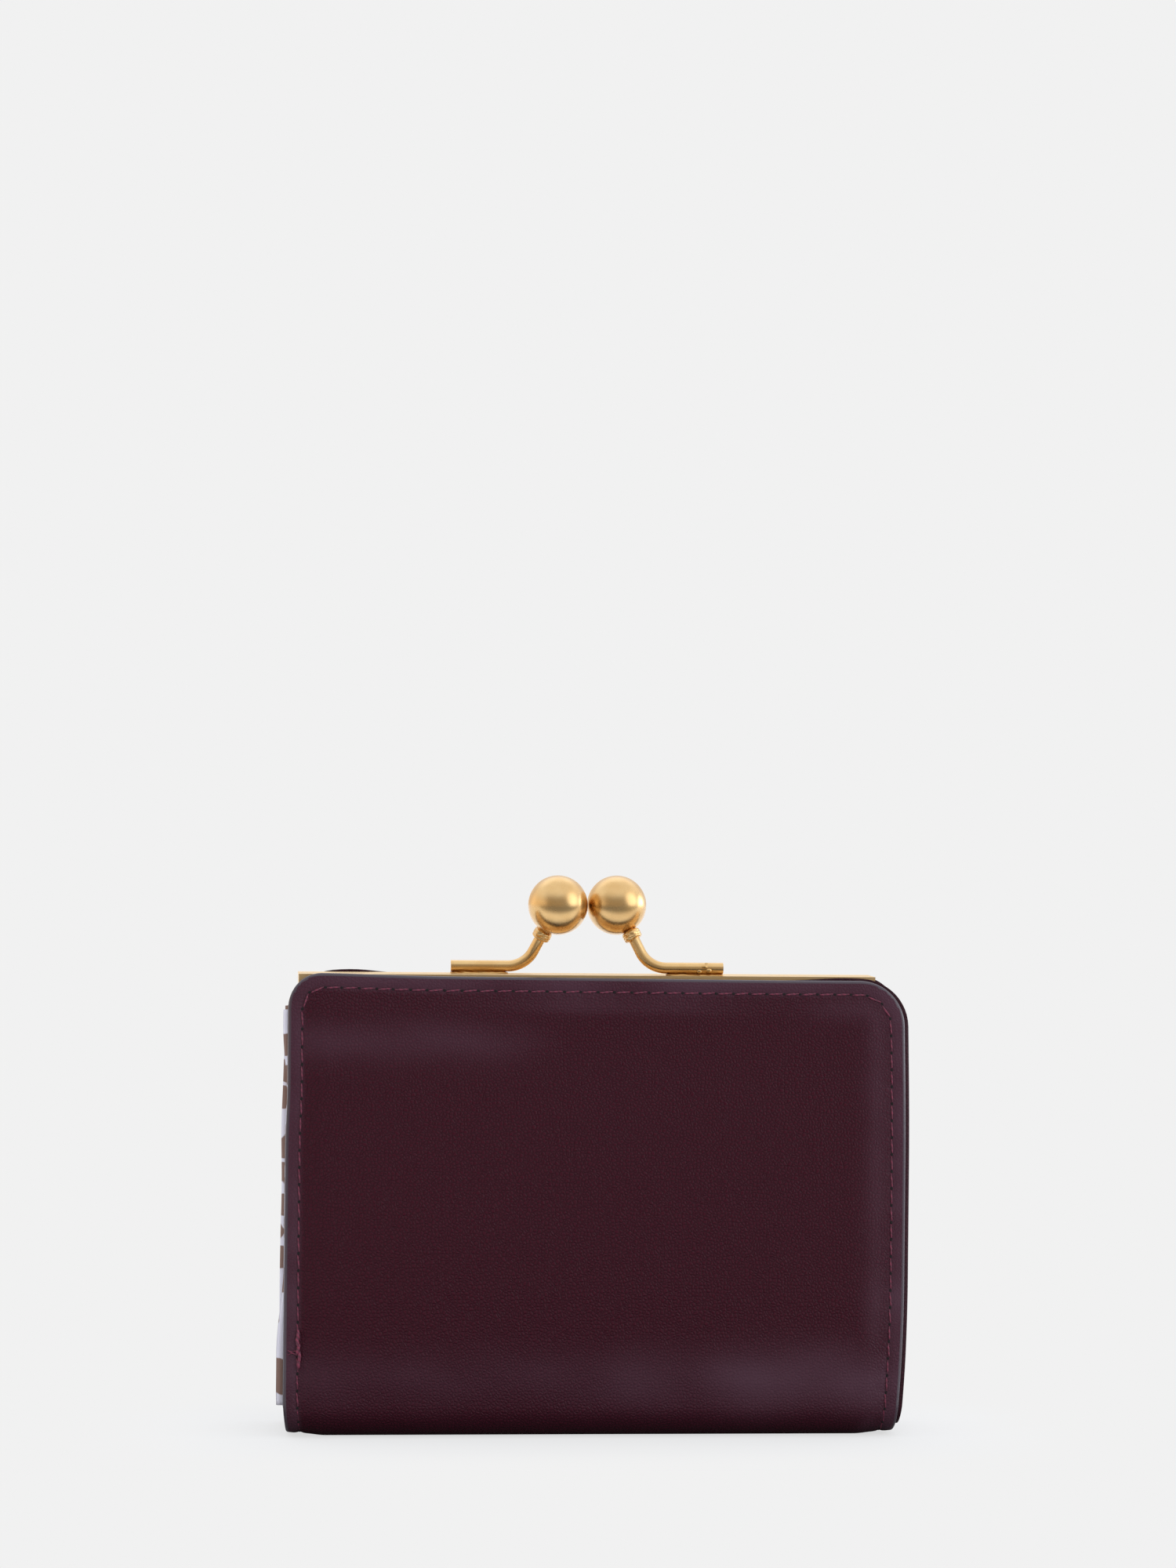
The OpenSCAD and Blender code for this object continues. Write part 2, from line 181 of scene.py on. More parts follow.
class Pattern(Enum):
    """Texture that draws a pattern."""

    MOTTLE = "TexNoise"
    CELLS = "TexVoronoi"
    BANDS = "TexWave"


@dataclass(frozen=True)
class Finish:
    """What all finishes share: the material's name, and how its node tree starts and ends."""

    name: str

    def start(self, layout: Layout) -> tuple[bpy.types.Material, bpy.types.NodeTree, bpy.types.NodeSocket]:
        """Makes an empty material.

        Args:
            layout: What its patterns are laid out on.

        Returns:
            The material, its node tree and the coordinates.
        """
        material = bpy.data.materials.new(self.name)
        material.use_nodes = True
        tree = material.node_tree
        tree.nodes.clear()
        return material, tree, add_node(tree, "TexCoord").outputs[layout.value]

    def close(self, material: bpy.types.Material, inputs: Mapping[str, Any]) -> bpy.types.Material:
        """Adds the material's shader.

        Args:
            material: The material.
            inputs: What goes into the Principled shader.

        Returns:
            The material.
        """
        shader = add_node(material.node_tree, "BsdfPrincipled", inputs)
        add_node(material.node_tree, "OutputMaterial", {"Surface": shader})
        return material


@dataclass(frozen=True)
class CalfLeather(Finish):
    """Chrome-tanned calf, drum dyed, then pressed and glazed: tight pebble grain under a satin coat."""

    colour: str = "#370918"
    valley: str = "#2A0713"
    # Paler tone of the flange that the seam pressed, also used for the painted sheen
    pressed: str = "#4A313D"
    grain: float = 0.62
    relief: float = 0.095
    roughness: float = 0.33

    def build(self) -> bpy.types.Material:
        """Grain and colour lie on the hide's own UV map, so that they stay put where it bends."""
        material, tree, where = self.start(Layout.SHEET)
        flat = {"noise_dimensions": "2D"}
        warp = add_node(tree, "TexNoise", {"Vector": where, "Scale": UV_MM / (self.grain * 1.6)}, **flat)
        bent = add_node(tree, "VectorMath", {0: warp.outputs["Color"], 1: (0.35 * self.grain / UV_MM,) * 3,
                                             2: where}, operation="MULTIPLY_ADD")
        cells = add_node(tree, "TexVoronoi", {"Vector": bent, "Scale": UV_MM / self.grain},
                         feature="DISTANCE_TO_EDGE", voronoi_dimensions="2D")
        pebble = add_node(tree, "MapRange", {"Value": cells, "From Max": 0.4, "To Min": 0.9, "To Max": 0.0},
                          interpolation_type="SMOOTHSTEP")
        pore = add_node(tree, "TexNoise", {"Vector": where, "Scale": UV_MM / (self.grain * 0.5),
                                           "Detail": 2.0}, **flat)
        # Creases of the hide over a few millimetres
        pull = add_node(tree, "TexNoise", {"Vector": where, "Scale": UV_MM / 6, "Detail": 3.0,
                                           "Roughness": 0.6}, **flat)
        grain = add_node(tree, "Math", {0: pebble, 1: pore})
        height = add_node(tree, "Math", {0: pull, 1: 1.8, 2: grain}, operation="MULTIPLY_ADD")
        tone = add_node(tree, "MapRange", {"Value": grain, "From Min": 0.6, "From Max": 1.5, "To Min": 1.0,
                                           "To Max": 0.0})
        colour = add_node(tree, "Mix", {0: tone, 6: self.valley, 7: self.colour}, data_type="RGBA")
        gloss = add_node(tree, "MapRange", {"Value": pull, "From Min": 0.3, "From Max": 0.7,
                                            "To Min": self.roughness - 0.04,
                                            "To Max": self.roughness + 0.05})
        # Where the seam pressed the hide it is paler and its grain flatter. The same attribute also paints
        # sheen: paler, flatter bands that stand in for highlights of the lights on the hide
        press_and_sheen_share = add_node(tree, "Attribute", attribute_name=PRESS_AND_SHEEN).outputs["Fac"]
        press_and_sheen = add_node(tree, "Mix", {0: press_and_sheen_share, 6: colour, 7: self.pressed}, data_type="RGBA")
        depth = add_node(tree, "MapRange", {"Value": press_and_sheen_share, "To Min": 1.0, "To Max": 0.3})
        bump = add_node(tree, "Bump", {"Height": height, "Distance": self.relief * MM, "Strength": depth},
                        invert=True)
        return self.close(material, {"Base Color": press_and_sheen, "Roughness": gloss, "Normal": bump,
                                     "Specular IOR Level": 0.13})


@dataclass(frozen=True)
class EdgePaint(Finish):
    """Acrylic edge paint on cut leather: a closed, slightly glossy skin with soft ripples."""

    colour: str = "#3E323A"
    ripple: float = 1.4

    def build(self) -> bpy.types.Material:
        """The ripples are as long as the strokes of the paint roller."""
        material, tree, where = self.start(Layout.SHEET)
        ripple = add_node(tree, "TexNoise", {"Vector": where, "Scale": UV_MM / self.ripple},
                          noise_dimensions="2D")
        bump = add_node(tree, "Bump", {"Height": ripple, "Distance": 0.08 * MM, "Strength": 0.5})
        return self.close(material, {"Base Color": self.colour, "Roughness": 0.27, "Normal": bump})


@dataclass(frozen=True)
class AntiqueBrass(Finish):
    """Brass, tumbled to a satin and lacquered: soft highlights, fine scratches and browner hollows."""

    colour: str = "#DDB67C"
    patina: str = "#CC9D5C"
    roughness: float = 0.26
    scratch: float = 0.12
    cloud: float = 2.5

    def build(self) -> bpy.types.Material:
        """Scratches are drawn 0.12 mm apart, coarser than the real 0.03 mm, so that they show."""
        material, tree, where = self.start(Layout.OBJECT)
        cloud = add_node(tree, "TexNoise", {"Vector": where, "Scale": 1 / (self.cloud * MM), "Detail": 2.0,
                                            "Roughness": 0.5})
        stretch = add_node(tree, "Mapping", {"Vector": where, "Scale": (0.12, 1.0, 1.0)})
        scratch = add_node(tree, "TexNoise", {"Vector": stretch, "Scale": 1 / (self.scratch * MM),
                                              "Detail": 2.0})
        tone = add_node(tree, "MapRange", {"Value": cloud, "From Min": 0.3, "From Max": 0.75,
                                           "To Max": 0.5})
        colour = add_node(tree, "Mix", {0: tone, 6: self.colour, 7: self.patina}, data_type="RGBA")
        gloss = add_node(tree, "MapRange", {"Value": cloud, "From Min": 0.3, "From Max": 0.7,
                                            "To Min": self.roughness - 0.02,
                                            "To Max": self.roughness + 0.04})
        bump = add_node(tree, "Bump", {"Height": scratch, "Distance": 0.0004 * MM, "Strength": 0.15})
        return self.close(material, {"Base Color": colour, "Roughness": gloss, "Normal": bump,
                                     "Metallic": 1.0, "Coat Weight": 0.3, "Coat Roughness": 0.1})


@dataclass(frozen=True)
class PrintedCotton(Finish):
    """Plain-woven cotton, pigment printed: pale ground, brown patches, matt with a thread relief."""

    ground: str = "#DCDAE6"
    patch: str = "#84695F"
    patch_size: float = 5.5
    thread: float = 0.3

    def build(self) -> bpy.types.Material:
        """Patches are about 5.5 mm apart and the threads 0.3 mm, on the cloth's own UV map."""
        material, tree, where = self.start(Layout.SHEET)
        warp = add_node(tree, "TexNoise", {"Vector": where, "Scale": UV_MM / 3, "Detail": 2.0},
                        noise_dimensions="2D")
        bent = add_node(tree, "Mix", {0: 0.02, 4: where, 5: warp.outputs["Color"]}, data_type="VECTOR")
        cells = add_node(tree, "TexVoronoi", {"Vector": bent, "Scale": UV_MM / self.patch_size,
                                              "Randomness": 0.8}, voronoi_dimensions="2D")
        shape = add_node(tree, "MapRange", {"Value": cells, "From Min": 0.34, "From Max": 0.38,
                                            "To Min": 1.0, "To Max": 0.0})
        colour = add_node(tree, "Mix", {0: shape, 6: self.ground, 7: self.patch}, data_type="RGBA")
        weave = [add_node(tree, "TexWave", {"Vector": where, "Scale": UV_MM * WAVE / self.thread,
                                            "Distortion": 0.3}, bands_direction=way) for way in ("X", "Y")]
        relief = add_node(tree, "Math", {i: way.outputs["Fac"] for i, way in enumerate(weave)},
                          operation="MAXIMUM")
        bump = add_node(tree, "Bump", {"Height": relief, "Distance": 0.04 * MM, "Strength": 0.5})
        return self.close(material, {"Base Color": colour, "Normal": bump, "Roughness": 0.85,
                                     "Sheen Weight": 0.15})


@dataclass(frozen=True)
class TwoTone(Finish):
    """What the small finishes share: two tones and a relief that follow one pattern, such as a twist."""

    low: str
    high: str
    pattern: Pattern
    spacing: float
    roughness: float
    relief: float = 0.0
    layout: Layout = Layout.OBJECT
    drawing: Mapping[str, float] = field(default_factory=dict)
    shading: Mapping[str, float] = field(default_factory=dict)

    def build(self) -> bpy.types.Material:
        """The spacing is the real one in millimetres, or as much coarser as it needs to show."""
        material, tree, where = self.start(self.layout)
        scale = UV_MM / self.spacing if self.layout is Layout.SHEET else 1 / (self.spacing * MM)
        settings = {}
        if self.pattern is Pattern.BANDS:
            scale *= WAVE
            settings["bands_direction"] = "DIAGONAL"
        drawn = add_node(tree, self.pattern.value, {"Vector": where, "Scale": scale, **self.drawing},
                         **settings).outputs["Distance" if self.pattern is Pattern.CELLS else "Fac"]
        colour = add_node(tree, "Mix", {0: drawn, 6: self.low, 7: self.high}, data_type="RGBA")
        inputs = {"Base Color": colour, "Roughness": self.roughness, **self.shading}
        if self.relief:
            inputs["Normal"] = add_node(tree, "Bump", {"Height": drawn, "Distance": self.relief * MM,
                                                       "Strength": 0.6})
        return self.close(material, inputs)


@dataclass(frozen=True)
class SewingThread(TwoTone):
    """Bonded polyester of three twisted plies: slanting bands of light, drawn twice as far apart as the
    real 0.25 mm, so that they show."""

    low: str = "#4A182A"
    high: str = "#6E223B"
    pattern: Pattern = Pattern.BANDS
    spacing: float = 0.5
    roughness: float = 0.55
    relief: float = 0.05
    drawing: Mapping[str, float] = field(default_factory=lambda: {"Distortion": 1.0})
    shading: Mapping[str, float] = field(default_factory=lambda: {"Sheen Weight": 0.05})


@dataclass(frozen=True)
class NeedleHoleShade(TwoTone):
    """Painted shade for the inside of the holes that the needle left in dyed leather: nearly black and
    matt, with some fibre.
    """

    low: str = "#080304"
    high: str = "#12070A"
    pattern: Pattern = Pattern.MOTTLE
    spacing: float = 0.2
    roughness: float = 0.9


@dataclass(frozen=True)
class HardSolder(TwoTone):
    """Brass-coloured hard solder, run and cooled: a rounded, slightly pitted skin with soft glints."""

    low: str = "#B58A4C"
    high: str = "#DDB67C"
    pattern: Pattern = Pattern.MOTTLE
    spacing: float = 0.3
    roughness: float = 0.3
    relief: float = 0.06
    drawing: Mapping[str, float] = field(default_factory=lambda: {"Detail": 3.0})
    shading: Mapping[str, float] = field(default_factory=lambda: {"Metallic": 1.0})


@dataclass(frozen=True)
class WovenTape(TwoTone):
    """Cotton tape in a herringbone weave, dyed dark: matt, with slanting ribs 0.6 mm apart."""

    low: str = "#171215"
    high: str = "#2B2326"
    pattern: Pattern = Pattern.BANDS
    spacing: float = 0.6
    roughness: float = 0.9
    relief: float = 0.08
    layout: Layout = Layout.SHEET
    drawing: Mapping[str, float] = field(default_factory=lambda: {"Distortion": 0.5})


@dataclass(frozen=True)
class PlainFibre(TwoTone):
    """Cut foam sheet or twisted kraft paper: matt, mottled by the foam's cells or the paper's creases."""

    pattern: Pattern = Pattern.CELLS
    spacing: float = 0.5
    roughness: float = 0.95
    relief: float = 0.1


@dataclass(frozen=True)
class Finishes:
    """Every finish of the purse, built once."""

    leather: bpy.types.Material
    edge: bpy.types.Material
    facing: bpy.types.Material
    thread: bpy.types.Material
    knot: bpy.types.Material
    hole: bpy.types.Material
    brass: bpy.types.Material
    channel: bpy.types.Material
    solder: bpy.types.Material
    cotton: bpy.types.Material
    tape: bpy.types.Material
    foam: bpy.types.Material
    paper: bpy.types.Material

    @classmethod
    def make(cls) -> "Finishes":
        """Builds all materials.

        Returns:
            The finishes.
        """
        return cls(
            leather=CalfLeather("burgundy_calf_glazed").build(),
            edge=EdgePaint("edge_paint_dark_grey").build(),
            facing=CalfLeather("burgundy_calf_facing", colour="#34161F", valley="#250E15",
                               relief=0.03, roughness=0.42).build(),
            thread=SewingThread("polyester_thread_wine").build(),
            knot=SewingThread("polyester_thread_wine_knot", "#4C1A2D", "#74253E").build(),
            hole=NeedleHoleShade("needle_hole_shadow").build(),
            brass=AntiqueBrass("antique_brass_satin").build(),
            channel=AntiqueBrass("antique_brass_brushed", colour="#EBCB98", patina="#DDB67C",
                                 roughness=0.45).build(),
            solder=HardSolder("hard_solder_brass").build(),
            cotton=PrintedCotton("printed_cotton_pale").build(),
            tape=WovenTape("herringbone_tape_dark").build(),
            foam=PlainFibre("foam_sheet_grey", "#8D8A86", "#6E6B67").build(),
            paper=PlainFibre("twisted_kraft_paper", "#9A8867", "#7C6C50", spacing=0.8).build(),
        )


@dataclass(frozen=True)
class PouchSizes:
    """Sizes of the pouch as the CAD part has them, in millimetres."""

    panel_w: float = 109.0
    panel_h: float = 80.4
    body_t: float = 24.0
    fold_r: float = 5.5
    corner_left: float = 6.0
    corner_right: float = 8.0
    kink_z: float = 56.0
    kink_run: float = 9.0
    lean: float = 0.1332
    cover_t: float = 1.2
    facing_in: float = 2.4
    facing_t: float = 0.8
    fabric_in: float = 3.3
    fabric_t: float = 0.4
    seam_inset: float = 2.5
    bend_low: float = 44.0
    bend_high: float = 66.0
    waist_left: float = 0.7
    waist_right: float = 1.3
    shift_x: float = 1.4

    @property
    def half_w(self) -> float:
        """Half of the cover's width."""
        return self.panel_w / 2

    @property
    def half_t(self) -> float:
        """Half of the pouch's thickness at its lower walls."""
        return self.body_t / 2


class WallSection:
    """Outer face of the leather in a plane across the purse, from the middle of the base to the top."""

    def __init__(self, sizes: PouchSizes) -> None:
        """Samples the section.

        Args:
            sizes: Sizes of the pouch.
        """
        self.sizes = sizes
        flat = sizes.half_t - sizes.fold_r
        points = [(flat * i / 8, 0.0) for i in range(8)]
        for i in range(25):
            a = math.pi / 2 * i / 24
            points.append((flat + sizes.fold_r * math.sin(a), sizes.fold_r * (1 - math.cos(a))))
        steps = 90
        for i in range(1, steps + 1):
            z = sizes.fold_r + (sizes.panel_h - sizes.fold_r) * i / steps
            points.append((self.out_at(z), z))
        self.points = points
        self.lengths = [0.0]
        for a, b in zip(points, points[1:]):
            self.lengths.append(self.lengths[-1] + math.dist(a, b))
        self.normals = []
        for i in range(len(points)):
            a, b = points[max(0, i - 1)], points[min(len(points) - 1, i + 1)]
            run = math.dist(a, b)
            self.normals.append(((b[1] - a[1]) / run, -(b[0] - a[0]) / run))
        self.normals[0] = (0.0, -1.0)

    @property
    def length(self) -> float:
        """Length of the section from the middle of the base to the top edge."""
        return self.lengths[-1]

    def out_at(self, z: float) -> float:
        """Distance of the upright wall's outer face from the middle plane.

        Args:
            z: Height above the table, in millimetres.

        Returns:
            The distance in millimetres.
        """
        run = self.sizes.kink_run
        over = z - self.sizes.kink_z
        ramp = max(0.0, over) if abs(over) > run else (over + run) ** 2 / (4 * run)
        return self.sizes.half_t - ramp * self.sizes.lean

    def length_at(self, z: float) -> float:
        """Length along the section at a height on the wall.

        Args:
            z: Height above the table, above the fold.

        Returns:
            The length in millimetres from the middle of the base.
        """
        for i, (a, b) in enumerate(zip(self.points, self.points[1:])):
            if a[1] <= z <= b[1] and b[1] > a[1]:
                share = (z - a[1]) / (b[1] - a[1])
                return self.lengths[i] + share * (self.lengths[i + 1] - self.lengths[i])
        return self.length

    def at(self, s: float, depth: float) -> tuple[float, float]:
        """Point of the section.

        Args:
            s: Length from the middle of the base, in millimetres.
            depth: Millimetres inward from the outer face.

        Returns:
            Distance from the middle plane and height, in millimetres.
        """
        if s >= self.length:
            i, t = len(self.points) - 2, 1 + (s - self.length) / (self.lengths[-1] - self.lengths[-2])
        else:
            i = max(0, bisect_left(self.lengths, s) - 1)
            t = (s - self.lengths[i]) / (self.lengths[i + 1] - self.lengths[i])
        (ya, za), (yb, zb) = self.points[i], self.points[i + 1]
        (na, ma), (nb, mb) = self.normals[i], self.normals[i + 1]
        k = min(1.0, t)
        ny, nz = na + (nb - na) * k, ma + (mb - ma) * k
        size = math.hypot(ny, nz)
        return ya + (yb - ya) * t - ny / size * depth, za + (zb - za) * t - nz / size * depth


def stations(half: float, fine: Sequence[float], step: float) -> list[float]:
    """Lines of a sheet's mesh between its two edges, closer together beside each edge.

    Args:
        half: Half of the width.
        fine: Distances of the first lines from an edge, from 0.
        step: Distance of the other lines.

    Returns:
        Places from -half to half.
    """
    left = [-half + e for e in fine]
    inner = 2 * (half - fine[-1])
    count = max(1, round(inner / step))
    middle = [left[-1] + inner * i / count for i in range(1, count)]
    return left + middle + [-x for x in reversed(left)]


def upward(length: float, fine: Sequence[float], step: float) -> list[float]:
    """Lines of a sheet's mesh from the middle of the base to the top edge, closer together beside that."""
    return [0.0] + [s for s in stations(length, fine, step) if s > step / 2]


def grid_shell(name: str, across: Sequence[float], along: Sequence[float],
               place: Callable[[float, float, int], Vector], materials: Sequence[bpy.types.Material],
               uv: Callable[[float, float], tuple[float, float]] = lambda x, s: (x, s),
               paint: Callable[[float, float], int] | None = None,
               press_and_sheen_at: Callable[[float, float], float] | None = None) -> bpy.types.Object:
    """Makes a sheet with a thickness from a flat grid that is thickened and then laid in place.

    Args:
        name: Name of the piece.
        across: Places of the grid's lines from side to side.
        along: Places of the grid's lines along the sheet.
        place: Point for a place across, a place along and a layer, 0 for the outer face and 1 for the
            inner.
        materials: The piece's materials. The cut edges have the last one.
        uv: Place on the pattern in millimetres, for a place across and along.
        paint: Number of the material at a place across and along.
        press_and_sheen_at: How much the surface is pressed and takes painted sheen at a place across and
            along, from 0 to 1.

    Returns:
        The piece.
    """
    bm = bmesh.new()
    press_and_sheen = bm.verts.layers.float.new(PRESS_AND_SHEEN) if press_and_sheen_at else None
    layer = bm.loops.layers.uv.new("UVMap")
    bmesh.ops.create_grid(bm, x_segments=len(across) - 1, y_segments=len(along) - 1, size=1)
    bmesh.ops.solidify(bm, geom=bm.faces[:], thickness=1.0)
    spots = {}
    for vert in bm.verts:
        i = round((vert.co.x + 1) / 2 * (len(across) - 1))
        j = round((vert.co.y + 1) / 2 * (len(along) - 1))
        spots[vert] = (across[i], along[j], 0 if abs(vert.co.z) < 0.5 else 1)
    for face in bm.faces:
        face.smooth = True
        if len({spots[v][2] for v in face.verts}) == 2:
            face.material_index = len(materials) - 1
        elif paint:
            face.material_index = paint(*(sum(spots[v][k] for v in face.verts) / len(face.verts)
                                          for k in (0, 1)))
        for loop in face.loops:
            loop[layer].uv = [c / UV_MM for c in uv(*spots[loop.vert][:2])]
    for vert, (u, w, side) in spots.items():
        vert.co = place(u, w, side)
        if press_and_sheen:
            vert[press_and_sheen] = press_and_sheen_at(u, w)
    bmesh.ops.recalc_face_normals(bm, faces=bm.faces[:])
    return finished(bm, name, materials)


def finished(bm: bmesh.types.BMesh, name: str, materials: Sequence[bpy.types.Material]) -> bpy.types.Object:
    """Turns a bmesh to a piece in the scene, at the origin.

    Args:
        bm: The bmesh, which is freed.
        name: Name of the piece.
        materials: The piece's materials.

    Returns:
        The piece.
    """
    mesh = bpy.data.meshes.new(name)
    bm.to_mesh(mesh)
    bm.free()
    for material in materials:
        mesh.materials.append(material)
    piece = bpy.data.objects.new(name, mesh)
    bpy.context.scene.collection.objects.link(piece)
    return piece


def declare(piece: bpy.types.Object, slot: str, *nodes: str, ride: str = "") -> bpy.types.Object:
    """Args:
        piece: The finished piece.
        slot: Not used.
        *nodes: CAD nodes that it replaces.
        ride: Body that it rides on, if one is given.

    Returns:
        The piece.
    """
    if ride:
        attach(piece, ride)
    if nodes:
        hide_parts(*nodes)
    return piece


def lying(along: Vector, out: Vector) -> Matrix:
    """Turns the X axis along a direction and the Z axis outward."""
    return Matrix((along, out.cross(along).normalized(), out)).transposed().to_4x4()


def add_bead(bm: bmesh.types.BMesh, matrix: Matrix, around: int, rings: int, material: int = 0,
             soft: bool = True) -> None:
    """Adds a ball that a matrix stretches, turns and places.

    Args:
        bm: The bmesh that takes it.
        matrix: From a ball of radius 1 to its place in metres.
        around: Number of its segments.
        rings: Number of its rings.
        material: Number of its material.
        soft: True where it is shaded smooth.
    """
    made = bmesh.ops.create_uvsphere(bm, u_segments=around, v_segments=rings, radius=1.0, matrix=matrix)
    for vert in made["verts"]:
        for face in vert.link_faces:
            face.smooth, face.material_index = soft, material


@dataclass
class LeatherBody:
    """The pouch's own form: where each ply of it lies, and how the border seam pulls it in."""

    sizes: PouchSizes = field(default_factory=PouchSizes)
    flange_in: float = 0.6
    flange_fall: float = 0.16
    groove: float = 0.22
    edge_r: float = 0.5
    swell_run: float = 4.5
    pitch: float = 3.0
    wave_run: float = 14.0

    def __post_init__(self) -> None:
        """Samples the section once."""
        self.section = WallSection(self.sizes)

    def corner(self, x: float) -> float:
        """Radius of the cover's top corner at the side of a place across."""
        return self.sizes.corner_right if x > 0 else self.sizes.corner_left

    def half_width(self, half: Half, s: float, right: bool) -> float:
        """Half width of the cover, which is drawn in where it folds round the base.

        Args:
            half: The half of the purse.
            s: Length from the middle of the base.
            right: True for the edge to the right as seen from outside.

        Returns:
            The half width in millimetres.
        """
        world_right = right == (half is Half.FRONT)
        waist, reach = (self.sizes.waist_right, 28.0) if world_right else (self.sizes.waist_left, 9.0)
        z = self.section.at(s, 0)[1]
        swell = 0.0 if world_right else 0.3 * smooth(62, 50, z)
        return self.sizes.half_w + swell - waist * max(0.0, 1 - (z + 0.5) / reach) ** 2

    def flat_place(self, half: Half, x: float, s: float, extra: float = 0.0) -> tuple[float, float]:
        """Place on the cut sheet: rounds the top corners, draws in the waist and waves the top edge.

        Args:
            half: The half of the purse.
            x: Place across, from -half_w to half_w.
            s: Place along, from the middle of the base to the top edge.
            extra: Width that the sheet has past the cover's edge.

        Returns:
            Place across and along on the finished sheet.
        """
        w, top, r, right = self.sizes.half_w, self.section.length, self.corner(x), x > 0
        a, b = (abs(x) - (w - r)) / r, (s - (top - r)) / r
        if a > 0 and b > 0:
            a, b = a * math.sqrt(1 - b * b / 2), b * math.sqrt(1 - a * a / 2)
            x, s = math.copysign(w - r + a * r, x), top - r + b * r
        x *= (self.half_width(half, s, right) + extra) / w
        return x, s + self.rise(half, x, s)

    def rise(self, half: Half, x: float, s: float) -> float:
        """How far a place near the cover's waved top edge stands above its mean height.

        Args:
            half: The half of the purse.
            x: Place across.
            s: Place along.

        Returns:
            Millimetres, at most about one.
        """
        wave = 0.15 + 0.42 * bell(42, 7, x) - 0.1 * bell(-5, 30, x)
        if half is Half.FRONT:
            wave = 0.45 + 0.45 * bell(-50, 14, x) - 0.1 * bell(-12, 26, x) - 0.4 * smooth(-20, 38, x)
        return wave * smooth(self.section.length - self.wave_run, self.section.length, s)

    def edge_distance(self, half: Half, x: float, s: float) -> float:
        """Distance from the cover's cut edge.

        Args:
            half: The half of the purse.
            x: Place across on the finished sheet.
            s: Place along.

        Returns:
            Millimetres, 0 at the edge.
        """
        r = self.corner(x)
        side = self.half_width(half, s, x > 0) - abs(x)
        top = self.section.length - s + self.rise(half, x, s)
        if side < r and top < r:
            return max(0.0, r - math.hypot(r - side, r - top))
        return max(0.0, min(side, top))

    def pressed(self, e: float) -> float:
        """Share by which the seam presses the plies at a distance from the edge: 1 in the flange."""
        return 1 - smooth(self.sizes.seam_inset, self.sizes.seam_inset + self.swell_run, e)

    def cover_depth(self, half: Half, x: float, s: float, e: float) -> float:
        """Depth of the leather's outer face below the CAD model's flat face.

        Args:
            half: The half of the purse.
            x: Place across on the finished sheet.
            s: Place along.
            e: Distance from the edge.

        Returns:
            Millimetres inward.
        """
        inset = self.sizes.seam_inset
        depth = self.flange_in * self.pressed(e) * (0.7 + 0.3 * smooth(8, 20, s))
        depth += self.groove * bell(inset, 0.55, e)
        depth += self.flange_fall * (1 - smooth(0.0, 2.2, e))
        if e < self.edge_r:
            depth += self.edge_r - math.sqrt(self.edge_r ** 2 - (self.edge_r - e) ** 2)
        # Pull of each stitch, then the padding's crown and the hide's slow swelling
        run = s if abs(x) > self.sizes.half_w - 8 else x
        depth += 0.05 * bell(inset + 0.7, 0.9, e) * math.cos(2 * math.pi * run / self.pitch)
        high = smooth(14, 26, s)
        depth -= high * smooth(3, 26, e) * 0.28
        swelling = noise.noise(Vector((x * 0.028 + half.turn * 3, s * 0.055, 1.7)))
        depth += high * smooth(4, 10, e) * 0.22 * swelling
        if half is Half.FRONT:
            # Long hollow across the upper left of the front
            depth += 0.22 * smooth(3, 8, e) * bell(83, 5, s) * smooth(20, -25, x)
        return depth

    def press_and_sheen(self, half: Half, x: float, s: float, e: float) -> float:
        """How much the hide is pressed by the seam, and how much painted sheen it takes.

        Args:
            half: The half of the purse.
            x: Place across on the finished sheet.
            s: Place along.
            e: Distance from the edge.

        Returns:
            A share from 0 to 1.
        """
        z = self.section.at(s, 0)[1]
        # The pressed flange, also painted sheen, and painted highlights on the upper left, on the fold at
        # the base, on the right side and on a strip below the top seam
        share = max(0.68 * (1 - smooth(2.2, 3.4, e)),
                    0.42 * bell(z, 3.6, 69.5) * smooth(-4, -24, x),
                    0.95 * bell(z, 5.5, 10.0) * (0.35 + 0.65 * smooth(-10, 42, x)),
                    0.35 * bell(e, 2.6, 5.0) * smooth(30, 48, x),
                    0.3 * smooth(7.2, 4.8, self.section.length - s) * bell(2, 20, x))
        return share * (0.8 + 0.4 * noise.noise(Vector((x * 0.09, s * 0.16, half.turn * 5.0))))

    def point(self, half: Half, x: float, s: float, depth: float) -> Vector:
        """Point in metres at a place across and along, and a depth below the CAD model's outer face."""
        out, z = self.section.at(max(0.0, s), depth)
        return half.place(x + self.sizes.shift_x * half.turn, out, z)

    def bend(self, piece: bpy.types.Object, half: Half) -> None:
        """Bakes a piece's placement into its mesh.

        Args:
            piece: The finished piece.
            half: Not used.
        """
        half.body
        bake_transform(piece)


@dataclass
class HalfPart:
    """What a sub-assembly of one half is built from."""

    body: LeatherBody
    finishes: Finishes
    half: Half

    def nodes(self, stem: str) -> tuple[str, str, str]:
        """CAD nodes of one ply of the half: its panel, its bend band and the base."""
        return f"{stem}_{self.half.value}", f"{stem}_{self.half.value}_bend", f"{stem}_base"


